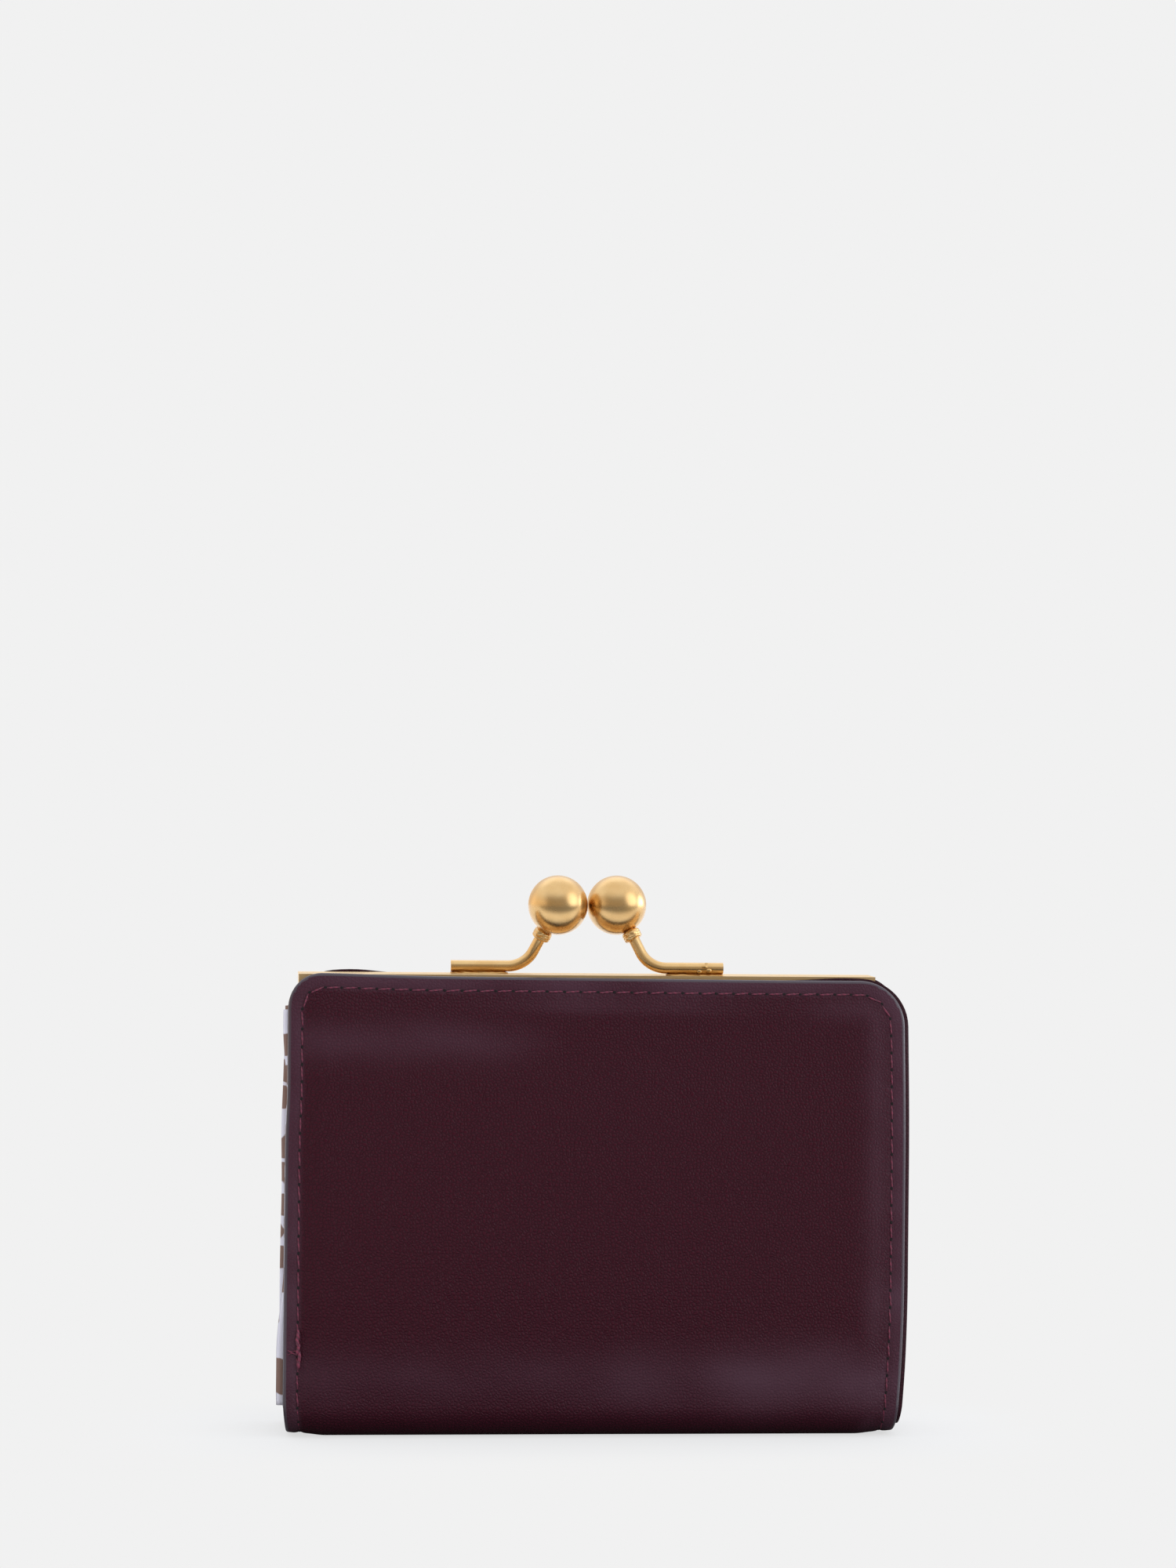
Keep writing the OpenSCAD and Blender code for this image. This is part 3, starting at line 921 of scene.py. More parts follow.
@dataclass
class Cover(HalfPart):
    """The outer leather of one half, from its top edge down the wall to the middle of the base."""

    step: float = 0.62
    fine: tuple[float, ...] = (0.0, 0.04, 0.12, 0.25, 0.4, 0.55, 0.9, 1.4, 1.9, 2.3, 2.7, 3.2)
    inner_r: float = 0.3
    painted: float = 0.5

    def build(self) -> bpy.types.Object:
        """Makes the leather with its painted edge.

        Returns:
            The piece.
        """
        body, half, r = self.body, self.half, self.inner_r

        def place(x: float, s: float, layer: int) -> Vector:
            """Point of the leather for one vertex of the flat grid.

            Args:
                x: Place across the flat grid.
                s: Place along it.
                layer: 0 for the outer face and 1 for the inner.

            Returns:
                The point in metres.
            """
            u, v = body.flat_place(half, x, s)
            e = body.edge_distance(half, u, v)
            if layer == 0:
                return body.point(half, u, v, body.cover_depth(half, u, v, e))
            roll = r - math.sqrt(r * r - (r - e) ** 2) if e < r else 0.0
            return body.point(half, u, v, body.sizes.cover_t + body.flange_in * body.pressed(e) - roll)

        def paint(x: float, s: float) -> int:
            """1 for the painted band beside the edge."""
            return int(body.edge_distance(half, *body.flat_place(half, x, s)) < self.painted)

        def press_and_sheen(x: float, s: float) -> float:
            """How much the hide is pressed, and how much painted sheen it takes, at a place of the flat
            grid.
            """
            u, v = body.flat_place(half, x, s)
            return body.press_and_sheen(half, u, v, body.edge_distance(half, u, v))

        piece = grid_shell(f"cover_{half.value}_leather", stations(body.sizes.half_w, self.fine, self.step),
                           upward(body.section.length, self.fine, self.step), place,
                           (self.finishes.leather, self.finishes.edge), half.turned, paint, press_and_sheen)
        body.bend(piece, half)
        return declare(piece, "outer_leather", *self.nodes("cover"))


@dataclass
class Facing(HalfPart):
    """The inner leather facing of one half, whose edge stands just proud of the cover's on the right."""

    proud_right: float = 0.78
    proud_left: float = -0.1
    step: float = 1.5
    fine: tuple[float, ...] = (0.0, 0.15, 0.4, 0.9, 1.6, 2.5, 3.5)

    def build(self) -> bpy.types.Object:
        """Makes the facing.

        Returns:
            The piece.
        """
        body, half, sizes = self.body, self.half, self.body.sizes

        def place(x: float, s: float, layer: int) -> Vector:
            """Point of the facing for one vertex of the flat grid.

            Args:
                x: Place across the flat grid.
                s: Place along it.
                layer: 0 for the outer face and 1 for the inner.

            Returns:
                The point in metres.
            """
            proud = self.proud_right if (x > 0) == (half is Half.FRONT) else self.proud_left
            u, v = body.flat_place(half, x, s, proud)
            e = body.edge_distance(half, u, v)
            depth = sizes.facing_in - body.flange_in * body.pressed(e) + layer * sizes.facing_t
            roll = 0.2 * (1 - smooth(0.0, 0.4, sizes.half_w + proud - abs(u)))
            # The top edge shows above the cover near the right corner
            v += 0.5 * bell(44, 7, u) * smooth(body.section.length - 4, body.section.length, s)
            return body.point(half, u, v, depth + (roll if layer == 0 else -roll))

        piece = grid_shell(f"facing_{half.value}_leather", stations(sizes.half_w, self.fine, self.step),
                           upward(body.section.length, self.fine, self.step), place,
                           (self.finishes.facing,), half.turned)
        body.bend(piece, half)
        return declare(piece, "facing_leather", *self.nodes("facing"))


@dataclass
class Padding(HalfPart):
    """The foam sheet between cover and facing of one half, thinned towards the border seam."""

    half_w: float = 52.0
    top_gap: float = 2.7
    step: float = 3.0
    fine: tuple[float, ...] = (0.0, 0.5, 1.2, 2.2, 3.6)
    gap: float = 0.06
    least: float = 0.05

    def build(self) -> bpy.types.Object:
        """Makes the foam.

        Returns:
            The piece.
        """
        body, half, sizes = self.body, self.half, self.body.sizes
        top = body.section.length - self.top_gap

        def place(x: float, s: float, layer: int) -> Vector:
            """Point of the foam for one vertex of the flat grid.

            Args:
                x: Place across the flat grid.
                s: Place along it.
                layer: 0 for the outer face and 1 for the inner.

            Returns:
                The point in metres.
            """
            u = x * (body.half_width(half, s, x > 0) - sizes.seam_inset) / self.half_w
            v = min(s, top)
            pull = body.flange_in * body.pressed(body.edge_distance(half, u, v))
            outer, inner = sizes.cover_t + pull + self.gap, sizes.facing_in - pull - self.gap
            middle = (outer + inner) / 2
            depth = min(outer, middle - self.least) if layer == 0 else max(inner, middle + self.least)
            return body.point(half, u, v, depth)

        piece = grid_shell(f"padding_{half.value}_foam", stations(self.half_w - 0.2, self.fine, self.step),
                           upward(top, self.fine, self.step), place, (self.finishes.foam,))
        body.bend(piece, half)
        return declare(piece, "foam", f"padding_{half.value}", "padding_base")


@dataclass
class Lining(HalfPart):
    """The printed lining of one half: down the wall from the frame's channel to the middle of the base."""

    half_w: float = 45.6
    turn_z: float = 71.9
    channel_z: float = 75.3
    tuck_out: float = 1.1
    tuck_z: float = 80.0
    rows: int = 70

    def build(self) -> bpy.types.Object:
        """Makes the cloth.

        Returns:
            The piece.
        """
        body, half, sizes = self.body, self.half, self.body.sizes
        turn_s = body.section.length_at(self.turn_z)
        wall_out = body.section.at(turn_s, sizes.fabric_in + sizes.fabric_t / 2)[0]
        slope = math.dist((wall_out, self.turn_z), (self.tuck_out, self.channel_z))
        total = turn_s + slope + self.tuck_z - self.channel_z

        def place(x: float, s: float, layer: int) -> Vector:
            """Point of the lining for one vertex of the flat grid.

            Args:
                x: Place across the flat grid.
                s: Place along it.
                layer: 0 for the outer face and 1 for the inner.

            Returns:
                The point in metres.
            """
            if s <= turn_s:
                ease = smooth(12, 24, s) * smooth(self.half_w, self.half_w - 8, abs(x))
                slack = 0.5 + noise.noise(Vector((x * 0.06, s * 0.11, 4.0 * half.turn)))
                depth = sizes.fabric_in + layer * sizes.fabric_t + 0.35 * ease * slack
                return body.point(half, x, s, depth)
            past = s - turn_s
            face = (0.5 - layer) * sizes.fabric_t
            x *= 1 + 0.04 * smooth(-3.0, 3.0, past)
            x += sizes.shift_x * half.turn
            if past < slope:
                t = past / slope
                out = wall_out + (self.tuck_out - wall_out) * smooth(-0.3, 1.15, t)
                return half.place(x, out + face, self.turn_z + (self.channel_z - self.turn_z) * t)
            return half.place(x, self.tuck_out + face, self.channel_z + past - slope)

        piece = grid_shell(f"lining_{half.value}_cotton", stations(self.half_w, (0.0, 0.4), 2.0),
                           [total * i / self.rows for i in range(self.rows + 1)], place,
                           (self.finishes.cotton,), half.turned)
        body.bend(piece, half)
        return declare(piece, "lining_fabric", *self.nodes("lining"))


@dataclass
class Gusset:
    """One side of the purse: cloth strips behind the panel edges, joined by a web that folds inward."""

    body: LeatherBody
    finishes: Finishes
    side: Side
    strip_end: float = 46.2
    strip_w: float = 9.0
    foot_z: float = 5.6
    high_z: float = 75.0
    low_z: float = 4.0
    mid_z: float = 52.0
    web_z: float = 71.6
    top_z: float = 71.8
    crease: tuple[float, float, float] = (3.0, 7.0, 15.0)
    rows: int = 48
    strip_rows: int = 90
    strip_flat: float = 10.4
    web_flat: float = 13.0
    web_cut: tuple[float, float] = (9.8, 66.0)

    def declared(self, piece: bpy.types.Object) -> bpy.types.Object:
        """Hides the CAD nodes that a piece stands for."""
        return declare(piece, "lining_fabric", f"gusset_{self.side.value}", f"gusset_{self.side.value}_top")

    def crease_depth(self, z: float) -> float:
        """Depth of the inward fold.

        Args:
            z: Height above the table.

        Returns:
            Millimetres from the strips.
        """
        base, mid, top = self.crease
        if z < self.mid_z:
            return base + (mid - base) * (z - self.low_z) / (self.mid_z - self.low_z)
        return mid + (top - mid) * (z - self.mid_z) / (self.top_z - self.mid_z)

    def proud(self, half: Half, z: float) -> float:
        """How far the strip's folded edge stands past the cover.

        Args:
            half: The half whose panel it is sewn to.
            z: Height above the table.

        Returns:
            Millimetres, below 0 where the edge is hidden.
        """
        if half is Half.FRONT and self.side is Side.RIGHT:
            return -0.35
        if half is Half.FRONT:
            return 0.02 + 0.75 * smooth(60, 72, z) + 1.13 * smooth(30, 15, z)
        return 0.35 + 0.25 * noise.noise(Vector((z * 0.06, half.turn * 2.0, self.side.sign * 3.0)))

    def strip(self, half: Half) -> bpy.types.Object:
        """Makes the folded strip behind a panel edge.

        Args:
            half: The half whose panel it is sewn to.

        Returns:
            The piece.
        """
        body, sizes, sign, reach = self.body, self.body.sizes, self.side.sign, self.strip_w / 2
        low, high = body.section.length_at(self.foot_z), body.section.length_at(self.high_z)

        def place(t: float, s: float, layer: int) -> Vector:
            """Point of the strip for one vertex of the flat grid, from its inner to its outer edge.

            Args:
                t: Place across, from the inner to the outer edge.
                s: Place along the walls' section.
                layer: 0 for the outer face and 1 for the inner.

            Returns:
                The point in metres.
            """
            z = body.section.at(s, 0)[1]
            outer = body.half_width(half, s, (self.side is Side.RIGHT) == (half is Half.FRONT))
            outer += self.proud(half, z)
            x = self.strip_end + (t + reach) / self.strip_w * (outer - self.strip_end)
            depth = sizes.fabric_in - body.flange_in * body.pressed(max(0.0, outer - x)) + 0.02
            # The edge is folded over, so it is thicker and round
            thick = sizes.fabric_t + 0.3 * smooth(52.5, 54.5, x)
            rounding = 0.5 * thick * (1 - smooth(0.0, 0.5, outer - x)) ** 2
            depth += rounding if layer == 0 else thick - rounding
            return body.point(half, x * sign * half.turn, s, depth)

        piece = grid_shell(f"gusset_{self.side.value}_{half.value}_strip",
                           stations(reach, (0.0, 0.15, 0.4, 0.8, 1.5), 1.0),
                           [low + (high - low) * i / self.strip_rows
                            for i in range(self.strip_rows + 1)], place,
                           (self.finishes.cotton,), lambda t, s: (t + 60 * sign, s * half.turn))
        body.bend(piece, half)
        return self.declared(piece)

    def web(self, half: Half) -> bpy.types.Object:
        """Makes half of the inward fold, from the crease to a strip.

        Args:
            half: The half whose strip it joins.

        Returns:
            The piece.
        """
        body, sizes, sign = self.body, self.body.sizes, self.side.sign
        inner = sizes.fabric_in + sizes.fabric_t / 2

        def middle(t: float, z: float) -> tuple[float, float]:
            """Place across and outward of the web's middle face.

            Args:
                t: Share of the way from the crease to the strip.
                z: Height above the table.

            Returns:
                Both places in millimetres.
            """
            reach = body.section.at(body.section.length_at(max(z, sizes.fold_r + 0.1)), inner)[0]
            if z < sizes.fold_r:
                # Round inside of the fold at the foot
                r = sizes.fold_r - inner
                reach -= r - math.sqrt(r * r - (sizes.fold_r - z) ** 2)
            soft = 0.5 * math.sin(math.pi * t) * (0.4 + noise.noise(Vector((t * 1.5, z * 0.07, sign * 5))))
            return self.strip_end - self.crease_depth(z) * (1 - t) ** 1.05 - soft, reach * t

        def place(t: float, z: float, layer: int) -> Vector:
            """Point of the web for one vertex of the flat grid.

            Args:
                t: Share of the way from the crease to the strip.
                z: Height above the table.
                layer: 0 for the outer face and 1 for the inner.

            Returns:
                The point in metres.
            """
            # The top edge dips towards the crease
            z -= 6.0 * (1 - t) ** 1.5 * smooth(58.0, self.web_z, z)
            x, out = middle(t, z)
            a, b = middle(max(0.0, t - 0.02), z), middle(min(1.0, t + 0.02), z)
            run = math.dist(a, b)
            face = (0.5 - layer) * sizes.fabric_t
            x += (b[1] - a[1]) / run * face
            out -= (b[0] - a[0]) / run * face if t > 0 else 0.0
            return half.place((x * sign + sizes.shift_x) * half.turn, out, z)

        piece = grid_shell(f"gusset_{self.side.value}_{half.value}_web", [i / 12 for i in range(13)],
                           [self.low_z + (self.web_z - self.low_z) * i / self.rows
                            for i in range(self.rows + 1)], place,
                           (self.finishes.cotton,), lambda t, z: (sign * 40 + half.turn * t * 9, z))
        self.bend_web(piece, half)
        return self.declared(piece)

    def bend_web(self, piece: bpy.types.Object, half: Half) -> None:
        """Bakes the web's placement into its mesh.

        Args:
            piece: The finished web.
            half: Not used.
        """
        half.body
        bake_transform(piece)


@dataclass
class BorderSeam(HalfPart):
    """The lockstitch round one panel: slanted dashes of thread between needle holes."""

    length: float = 2.55
    thread_d: float = 0.32
    slant: float = 0.09
    sample: float = 0.25

    def line(self) -> list[tuple[float, float]]:
        """The seam's line on the cut sheet, from the base up the left side, over the top and down again.

        Returns:
            Places across and along, about 0.25 mm apart.
        """
        body, step, inset = self.body, self.sample, self.body.sizes.seam_inset
        w, top = body.sizes.half_w - inset, body.section.length - inset
        left_r, right_r = body.sizes.corner_left - inset, body.sizes.corner_right - inset
        line = [(-w, step * i) for i in range(int((top - left_r) / step))]
        angles = [math.pi / 2 * i / 20 for i in range(21)]
        line += [(-w + left_r - left_r * math.cos(a), top - left_r + left_r * math.sin(a))
                 for a in angles[:20]]
        span = 2 * w - left_r - right_r
        line += [(-w + left_r + span * i / 400, top) for i in range(400)]
        line += [(w - right_r + right_r * math.sin(a), top - right_r + right_r * math.cos(a))
                 for a in angles]
        line += [(w, top - right_r - step * i) for i in range(int((top - right_r) / step))]
        return line

    def spots(self) -> list[tuple[float, float]]:
        """Places of the needle holes.

        Returns:
            Places across and along, one stitch apart along the line.
        """
        line, spots, gone = self.line(), [], 0.0
        for a, b in zip(line, line[1:]):
            if gone <= 0:
                spots.append(a)
                gone += self.body.pitch
            gone -= math.dist(a, b)
        return spots

    def surface(self, x: float, s: float, lift: float) -> Vector:
        """Point above the leather's outer face.

        Args:
            x: Place across the flat sheet.
            s: Place along it.
            lift: Millimetres outward.

        Returns:
            The point in metres.
        """
        body, half, inset = self.body, self.half, self.body.sizes.seam_inset
        u = x * (body.half_width(half, s, x > 0) - inset) / (body.sizes.half_w - inset)
        v = s + body.rise(half, u, s)
        return body.point(half, u, v, body.cover_depth(half, u, v, body.edge_distance(half, u, v)) - lift)

    def outward(self, x: float, s: float) -> Vector:
        """Direction away from the leather at a place of the flat sheet."""
        return (self.surface(x, s, 1.0) - self.surface(x, s, 0.0)).normalized()

    def build(self) -> bpy.types.Object:
        """Makes all stitches of the seam, and the painted shade of its needle holes, as one piece.

        Returns:
            The piece.
        """
        rng = random.Random(11 if self.half is Half.FRONT else 12)
        bm = bmesh.new()
        spots = self.spots()
        round_x = Matrix.Rotation(math.pi / 2, 4, "Y")
        hole = Matrix.Diagonal((0.3 * MM, 0.24 * MM, 0.12 * MM, 1.0))
        for (xa, sa), (xb, sb) in zip(spots, spots[1:]):
            a, b, out = self.surface(xa, sa, 0.12), self.surface(xb, sb, 0.12), self.outward(xa, sa)
            run = b - a
            slant = Matrix.Rotation(self.slant + rng.uniform(-0.04, 0.04), 4, out)
            turn = lying((slant @ run).normalized(), out)
            size = Matrix.Diagonal((min(self.length * MM, run.length * 0.88) / 2,
                                    self.thread_d / 2 * MM, self.thread_d * 0.4 * MM, 1.0))
            add_bead(bm, Matrix.Translation((a + b) / 2 + out * 0.02 * MM) @ turn @ size @ round_x, 8, 6)
            # Painted shade of the needle holes: a flat, near-black bead half sunk in the leather at the
            # start of each stitch
            add_bead(bm, Matrix.Translation(a - out * 0.1 * MM) @ turn @ hole, 8, 4, 1, False)
        piece = finished(bm, f"border_seam_{self.half.value}", (self.finishes.thread, self.finishes.hole))
        self.body.bend(piece, self.half)
        return declare(piece, "outer_leather")

    def back_tack(self) -> bpy.types.Object:
        """Makes the knot of overlapping stitches low on the left side, with its loose end.

        Returns:
            The piece.
        """
        rng = random.Random(5)
        bm = bmesh.new()
        x0 = -(self.body.sizes.half_w - self.body.sizes.seam_inset)
        base = self.body.section.length_at(12.0)
        # Both ends of each thread and its width
        threads = [((x0 + rng.uniform(-0.25, 0.35), base + i * 1.25 + rng.uniform(-0.2, 0.2)),
                    (x0 + rng.uniform(-0.3, 0.4), base + i * 1.25 + 2.1), 0.62) for i in range(5)]
        threads += [((x0 + 0.1, base + 2.6), (x0 - 1.0, base + 3.1), 0.22),
                    ((x0 - 0.9, base + 3.05), (x0 - 1.7, base + 3.5), 0.16),
                    ((x0 - 0.9, base + 3.05), (x0 - 1.75, base + 2.7), 0.14),
                    ((x0 - 0.2, base + 3.4), (x0 - 1.2, base + 3.3), 0.16)]
        for (xa, sa), (xb, sb), width in threads:
            a, b = self.surface(xa, sa, 0.3), self.surface(xb, sb, 0.3)
            turn = lying((b - a).normalized(), self.outward(xa, sa))
            size = Matrix.Diagonal(((b - a).length / 2, width / 2 * MM, width / 2 * MM, 1.0))
            round_x = Matrix.Rotation(math.pi / 2, 4, "Y")
            add_bead(bm, Matrix.Translation((a + b) / 2) @ turn @ size @ round_x, 10, 8)
        return declare(finished(bm, "seam_back_tack", (self.finishes.knot,)), "outer_leather", ride="pouch")


@dataclass
class GussetTab:
    """The leather tab sewn across the foot of a gusset."""

    body: LeatherBody
    finishes: Finishes
    side: Side
    thick: float = 0.55
    half_w: float = 8.2
    low_z: float = 11.6
    high_z: float = 16.0
    bow: float = 0.12

    @property
    def inner_x(self) -> float:
        """Distance of the tab's inner face from the middle, less where the cover's edge is over it."""
        return 54.2 if self.side is Side.RIGHT else 54.8

    def point(self, x: float, y: float, z: float) -> Vector:
        """Point in metres, from millimetres outward from the middle, to the rear and up."""
        return Vector((x * self.side.sign + self.body.sizes.shift_x, y, z)) * MM

    def build(self) -> bpy.types.Object:
        """Makes the tab, slightly bowed.

        Returns:
            The piece.
        """
        rise = (self.high_z - self.low_z) / 2

        def place(y: float, z: float, layer: int) -> Vector:
            """Point of the tab for one vertex of the flat grid.

            Args:
                y: Place across the tab.
                z: Place up it from its middle.
                layer: 0 for the outer face and 1 for the inner.

            Returns:
                The point in metres.
            """
            near = min(self.half_w - abs(y), rise - abs(z))
            roll = 0.16 * (1 - smooth(0.0, 0.3, near))
            x = self.inner_x - self.bow * (y / self.half_w) ** 2
            x += roll if layer == 0 else self.thick - roll
            return self.point(x, y, (self.low_z + self.high_z) / 2 + z)

        piece = grid_shell(f"gusset_tab_{self.side.value}_leather",
                           stations(self.half_w, (0.0, 0.1, 0.3, 0.6), 0.8),
                           stations(rise, (0.0, 0.1, 0.3), 0.5), place, (self.finishes.leather,))
        return declare(piece, "outer_leather", f"gusset_tab_{self.side.value}", ride="pouch")

    def stitches(self) -> bpy.types.Object:
        """Makes the stitches at both ends of the tab.

        Returns:
            The piece.
        """
        bm = bmesh.new()
        size = Matrix.Diagonal((0.1 * MM, 0.15 * MM, 0.75 * MM, 1.0))
        for y in (-self.half_w + 1.3, self.half_w - 1.3):
            for z in (self.low_z + 1.2, self.low_z + 3.2):
                add_bead(bm, Matrix.Translation(self.point(self.inner_x + self.thick, y, z)) @ size, 10, 8)
        piece = finished(bm, f"gusset_tab_{self.side.value}_stitches", (self.finishes.knot,))
        return declare(piece, "outer_leather", ride="pouch")


@dataclass
class FrameFilling(HalfPart):
    """What is wedged in a rail's channel: welt tape and paper cord."""

    half_w: float = 47.4
    under_z: float = 75.45
    wall_in: float = 3.55
    tape_out: float = 3.55
    tape_t: float = 0.5
    cord_out: float = 2.3
    cord_z: float = 79.2
    cord_d: float = 1.8
    cord_cuts: int = 160

    def tape(self) -> bpy.types.Object:
        """Makes the tape that joins the facing to the rail.

        Returns:
            The piece.
        """
        section, half = self.body.section, self.half
        path = [(section.at(section.length_at(z), self.wall_in)[0], z) for z in (79.25, 77.5, 76.2)]
        path += [(path[-1][0] - 0.5, self.under_z), (self.tape_out + 0.25, self.under_z),
                 (self.tape_out, self.under_z + 0.5), (self.tape_out, 78.0), (self.tape_out, 80.1)]

        def place(x: float, step: float, layer: int) -> Vector:
            """Point of the tape for one vertex of the flat grid.

            Args:
                x: Place across the purse.
                step: Number of a point of the tape's path.
                layer: 0 for the outer face and 1 for the inner.

            Returns:
                The point in metres.
            """
            i = round(step)
            (ya, za), (yb, zb) = path[max(0, i - 1)], path[min(len(path) - 1, i + 1)]
            run = math.dist((ya, za), (yb, zb))
            face = (0.5 - layer) * self.tape_t
            return half.place(x, path[i][0] + (zb - za) / run * face, path[i][1] - (yb - ya) / run * face)

        piece = grid_shell(f"welt_{half.value}_tape", stations(self.half_w, (0.0, 0.4), 3.0),
                           [float(i) for i in range(len(path))], place, (self.finishes.tape,),
                           lambda x, s: (x, s * 1.5))
        length = sum(math.dist(a, b) for a, b in zip(path, path[1:]))
        return declare(piece, "welt_tape", f"welt_{half.value}", ride=half.body)

    def cord(self) -> bpy.types.Object:
        """Makes the twisted paper cord.

        Returns:
            The piece.
        """
        half = self.half
        bm = bmesh.new()
        bmesh.ops.create_cone(bm, cap_ends=True, segments=12, radius1=1.0, radius2=1.0, depth=2.0)
        long_edges = [e for e in bm.edges if abs(e.verts[0].co.z - e.verts[1].co.z) > 1]
        bmesh.ops.subdivide_edges(bm, edges=long_edges, cuts=self.cord_cuts, use_grid_fill=False)
        for vert in bm.verts:
            x = vert.co.z * self.half_w
            angle = math.atan2(vert.co.y, vert.co.x)
            radius = self.cord_d / 2 * (0.94 + 0.06 * math.cos(2 * (angle - x * 1.6)))
            reach = radius if vert.co.xy.length > 0.5 else 0.0
            vert.co = half.place(x, self.cord_out + reach * math.cos(angle),
                                 self.cord_z + reach * math.sin(angle))
        bmesh.ops.recalc_face_normals(bm, faces=bm.faces[:])
        for face in bm.faces:
            face.smooth = len(face.verts) == 4
        piece = finished(bm, f"channel_cord_{half.value}_paper", (self.finishes.paper,))
        return declare(piece, "paper_cord", f"channel_cord_{half.value}", ride=half.body)


@dataclass
class ClaspMetal:
    """Frame, rivets and clasp: CAD nodes that keep their shape, and the solder that is remade."""

    finishes: Finishes
    nodes: Mapping[str, bpy.types.Object]
    elbow_x: float = 13.96
    foot_end: float = 24.11
    rail_out: float = 2.3
    rail_z: float = 80.8

    def dress(self) -> None:
        """Gives every metal node its brass."""
        stems = ("frame_", "hinge_rivet_", "clasp_wire_", "ball_collar_", "clasp_ball_")
        for name, node in self.nodes.items():
            if name.startswith(stems):
                node.data.materials.clear()
                frame = name.startswith("frame_")
                node.data.materials.append(self.finishes.channel if frame else self.finishes.brass)
                log.info("dressed %s", name)

    def middle(self, name: str) -> Vector:
        """Middle of a CAD node's box."""
        node = self.nodes[name]
        return sum((node.matrix_world @ Vector(corner) for corner in node.bound_box), Vector()) / 8

    def beads(self, half: Half) -> bpy.types.Object:
        """Makes the lumps of run brass that swell the collar under a ball.

        Args:
            half: The half whose ball it holds.

        Returns:
            The piece.
        """
        ball, collar = (self.middle(f"{part}_{half.value}") for part in ("clasp_ball", "ball_collar"))
        axis = (collar - ball).normalized()
        side = axis.cross(Vector((0, half.turn, 0))).normalized()
        turn = Matrix((side, axis.cross(side).normalized(), axis)).transposed().to_4x4()
        # Place along the axis, then across and towards the outside from it, then the radii
        lumps = [(0.0, 0.0, 0.0, 1.68, 0.84), (0.3, -0.1, 0.55, 0.9, 0.55)]
        if half is Half.FRONT:
            lumps += [(-0.4, 0.1, 0.85, 1.05, 0.95), (0.5, -0.65, 0.7, 0.9, 0.7),
                      (-0.3, 0.2, -0.8, 1.0, 0.8)]
        else:
            lumps += [(-0.4, -0.6, -0.8, 1.0, 0.9), (0.35, 0.75, -0.5, 0.95, 0.62),
                      (-0.2, 0.1, 0.9, 1.0, 0.8)]
        bm = bmesh.new()
        for along, across, outward, wide, tall in lumps:
            spot = collar + axis * along * MM + Vector((across, -half.turn * outward, 0.0)) * MM
            size = Matrix.Diagonal((wide * MM, wide * MM, tall * MM, 1.0))
            bmesh.ops.create_icosphere(bm, subdivisions=4, radius=1.0,
                                       matrix=Matrix.Translation(spot) @ turn @ size)
        for face in bm.faces:
            face.smooth = True
        piece = finished(bm, f"collar_beads_{half.value}", (self.finishes.brass,))
        return declare(piece, "antique_brass", ride=half.body)

    def solder(self, half: Half) -> bpy.types.Object:
        """Makes the run solder under a wire's foot, with a few drops on the front one's outer end.

        Args:
            half: The half whose wire it holds.

        Returns:
            The piece.
        """
        bm = bmesh.new()
        rng = random.Random(21 if half is Half.FRONT else 22)
        centre, reach = (self.elbow_x + self.foot_end) / 2, (self.foot_end - self.elbow_x) / 2 + 0.1
        bmesh.ops.create_icosphere(bm, subdivisions=5, radius=1.0)
        bed = len(bm.verts)
        # Distance from the foot's end, place across, height and radius
        drops = ((3.4, -0.75, 1.55, 0.5), (2.6, -0.95, 0.95, 0.42), (4.3, -0.85, 0.75, 0.38),
                 (3.0, -0.45, 1.95, 0.34))
        for back, y, z, r in drops if half is Half.FRONT else ():
            size = Matrix.Diagonal((1.3, 0.8, rng.uniform(0.8, 1.0), 1.0))
            bmesh.ops.create_icosphere(bm, subdivisions=3, radius=r,
                                       matrix=Matrix.Translation((self.foot_end - back, y, z)) @ size)
        bm.verts.index_update()
        for vert in bm.verts:
            x, y, z = vert.co
            if vert.index < bed:
                # Squares the bead's ends and sides, so that it fills the gap under the wire
                x, y = math.copysign(abs(x) ** 0.65, x), math.copysign(abs(y) ** 0.45, y)
                x, y, z = centre + x * reach, y * (1.2 - 0.45 * z), 0.16 + z * 0.34
            lump = 0.12 * noise.noise(Vector((x * 0.9, y * 1.4, half.turn * 7.0)))
            z = max(0.0, z + lump)
            vert.co = half.place(x, self.rail_out - y - lump * 0.4, self.rail_z + z - 0.02)
        for face in bm.faces:
            face.smooth = True
        bmesh.ops.recalc_face_normals(bm, faces=bm.faces[:])
        piece = finished(bm, f"solder_{half.value}", (self.finishes.solder,))
        return declare(piece, "solder", f"solder_bed_{half.value}", ride=half.body)


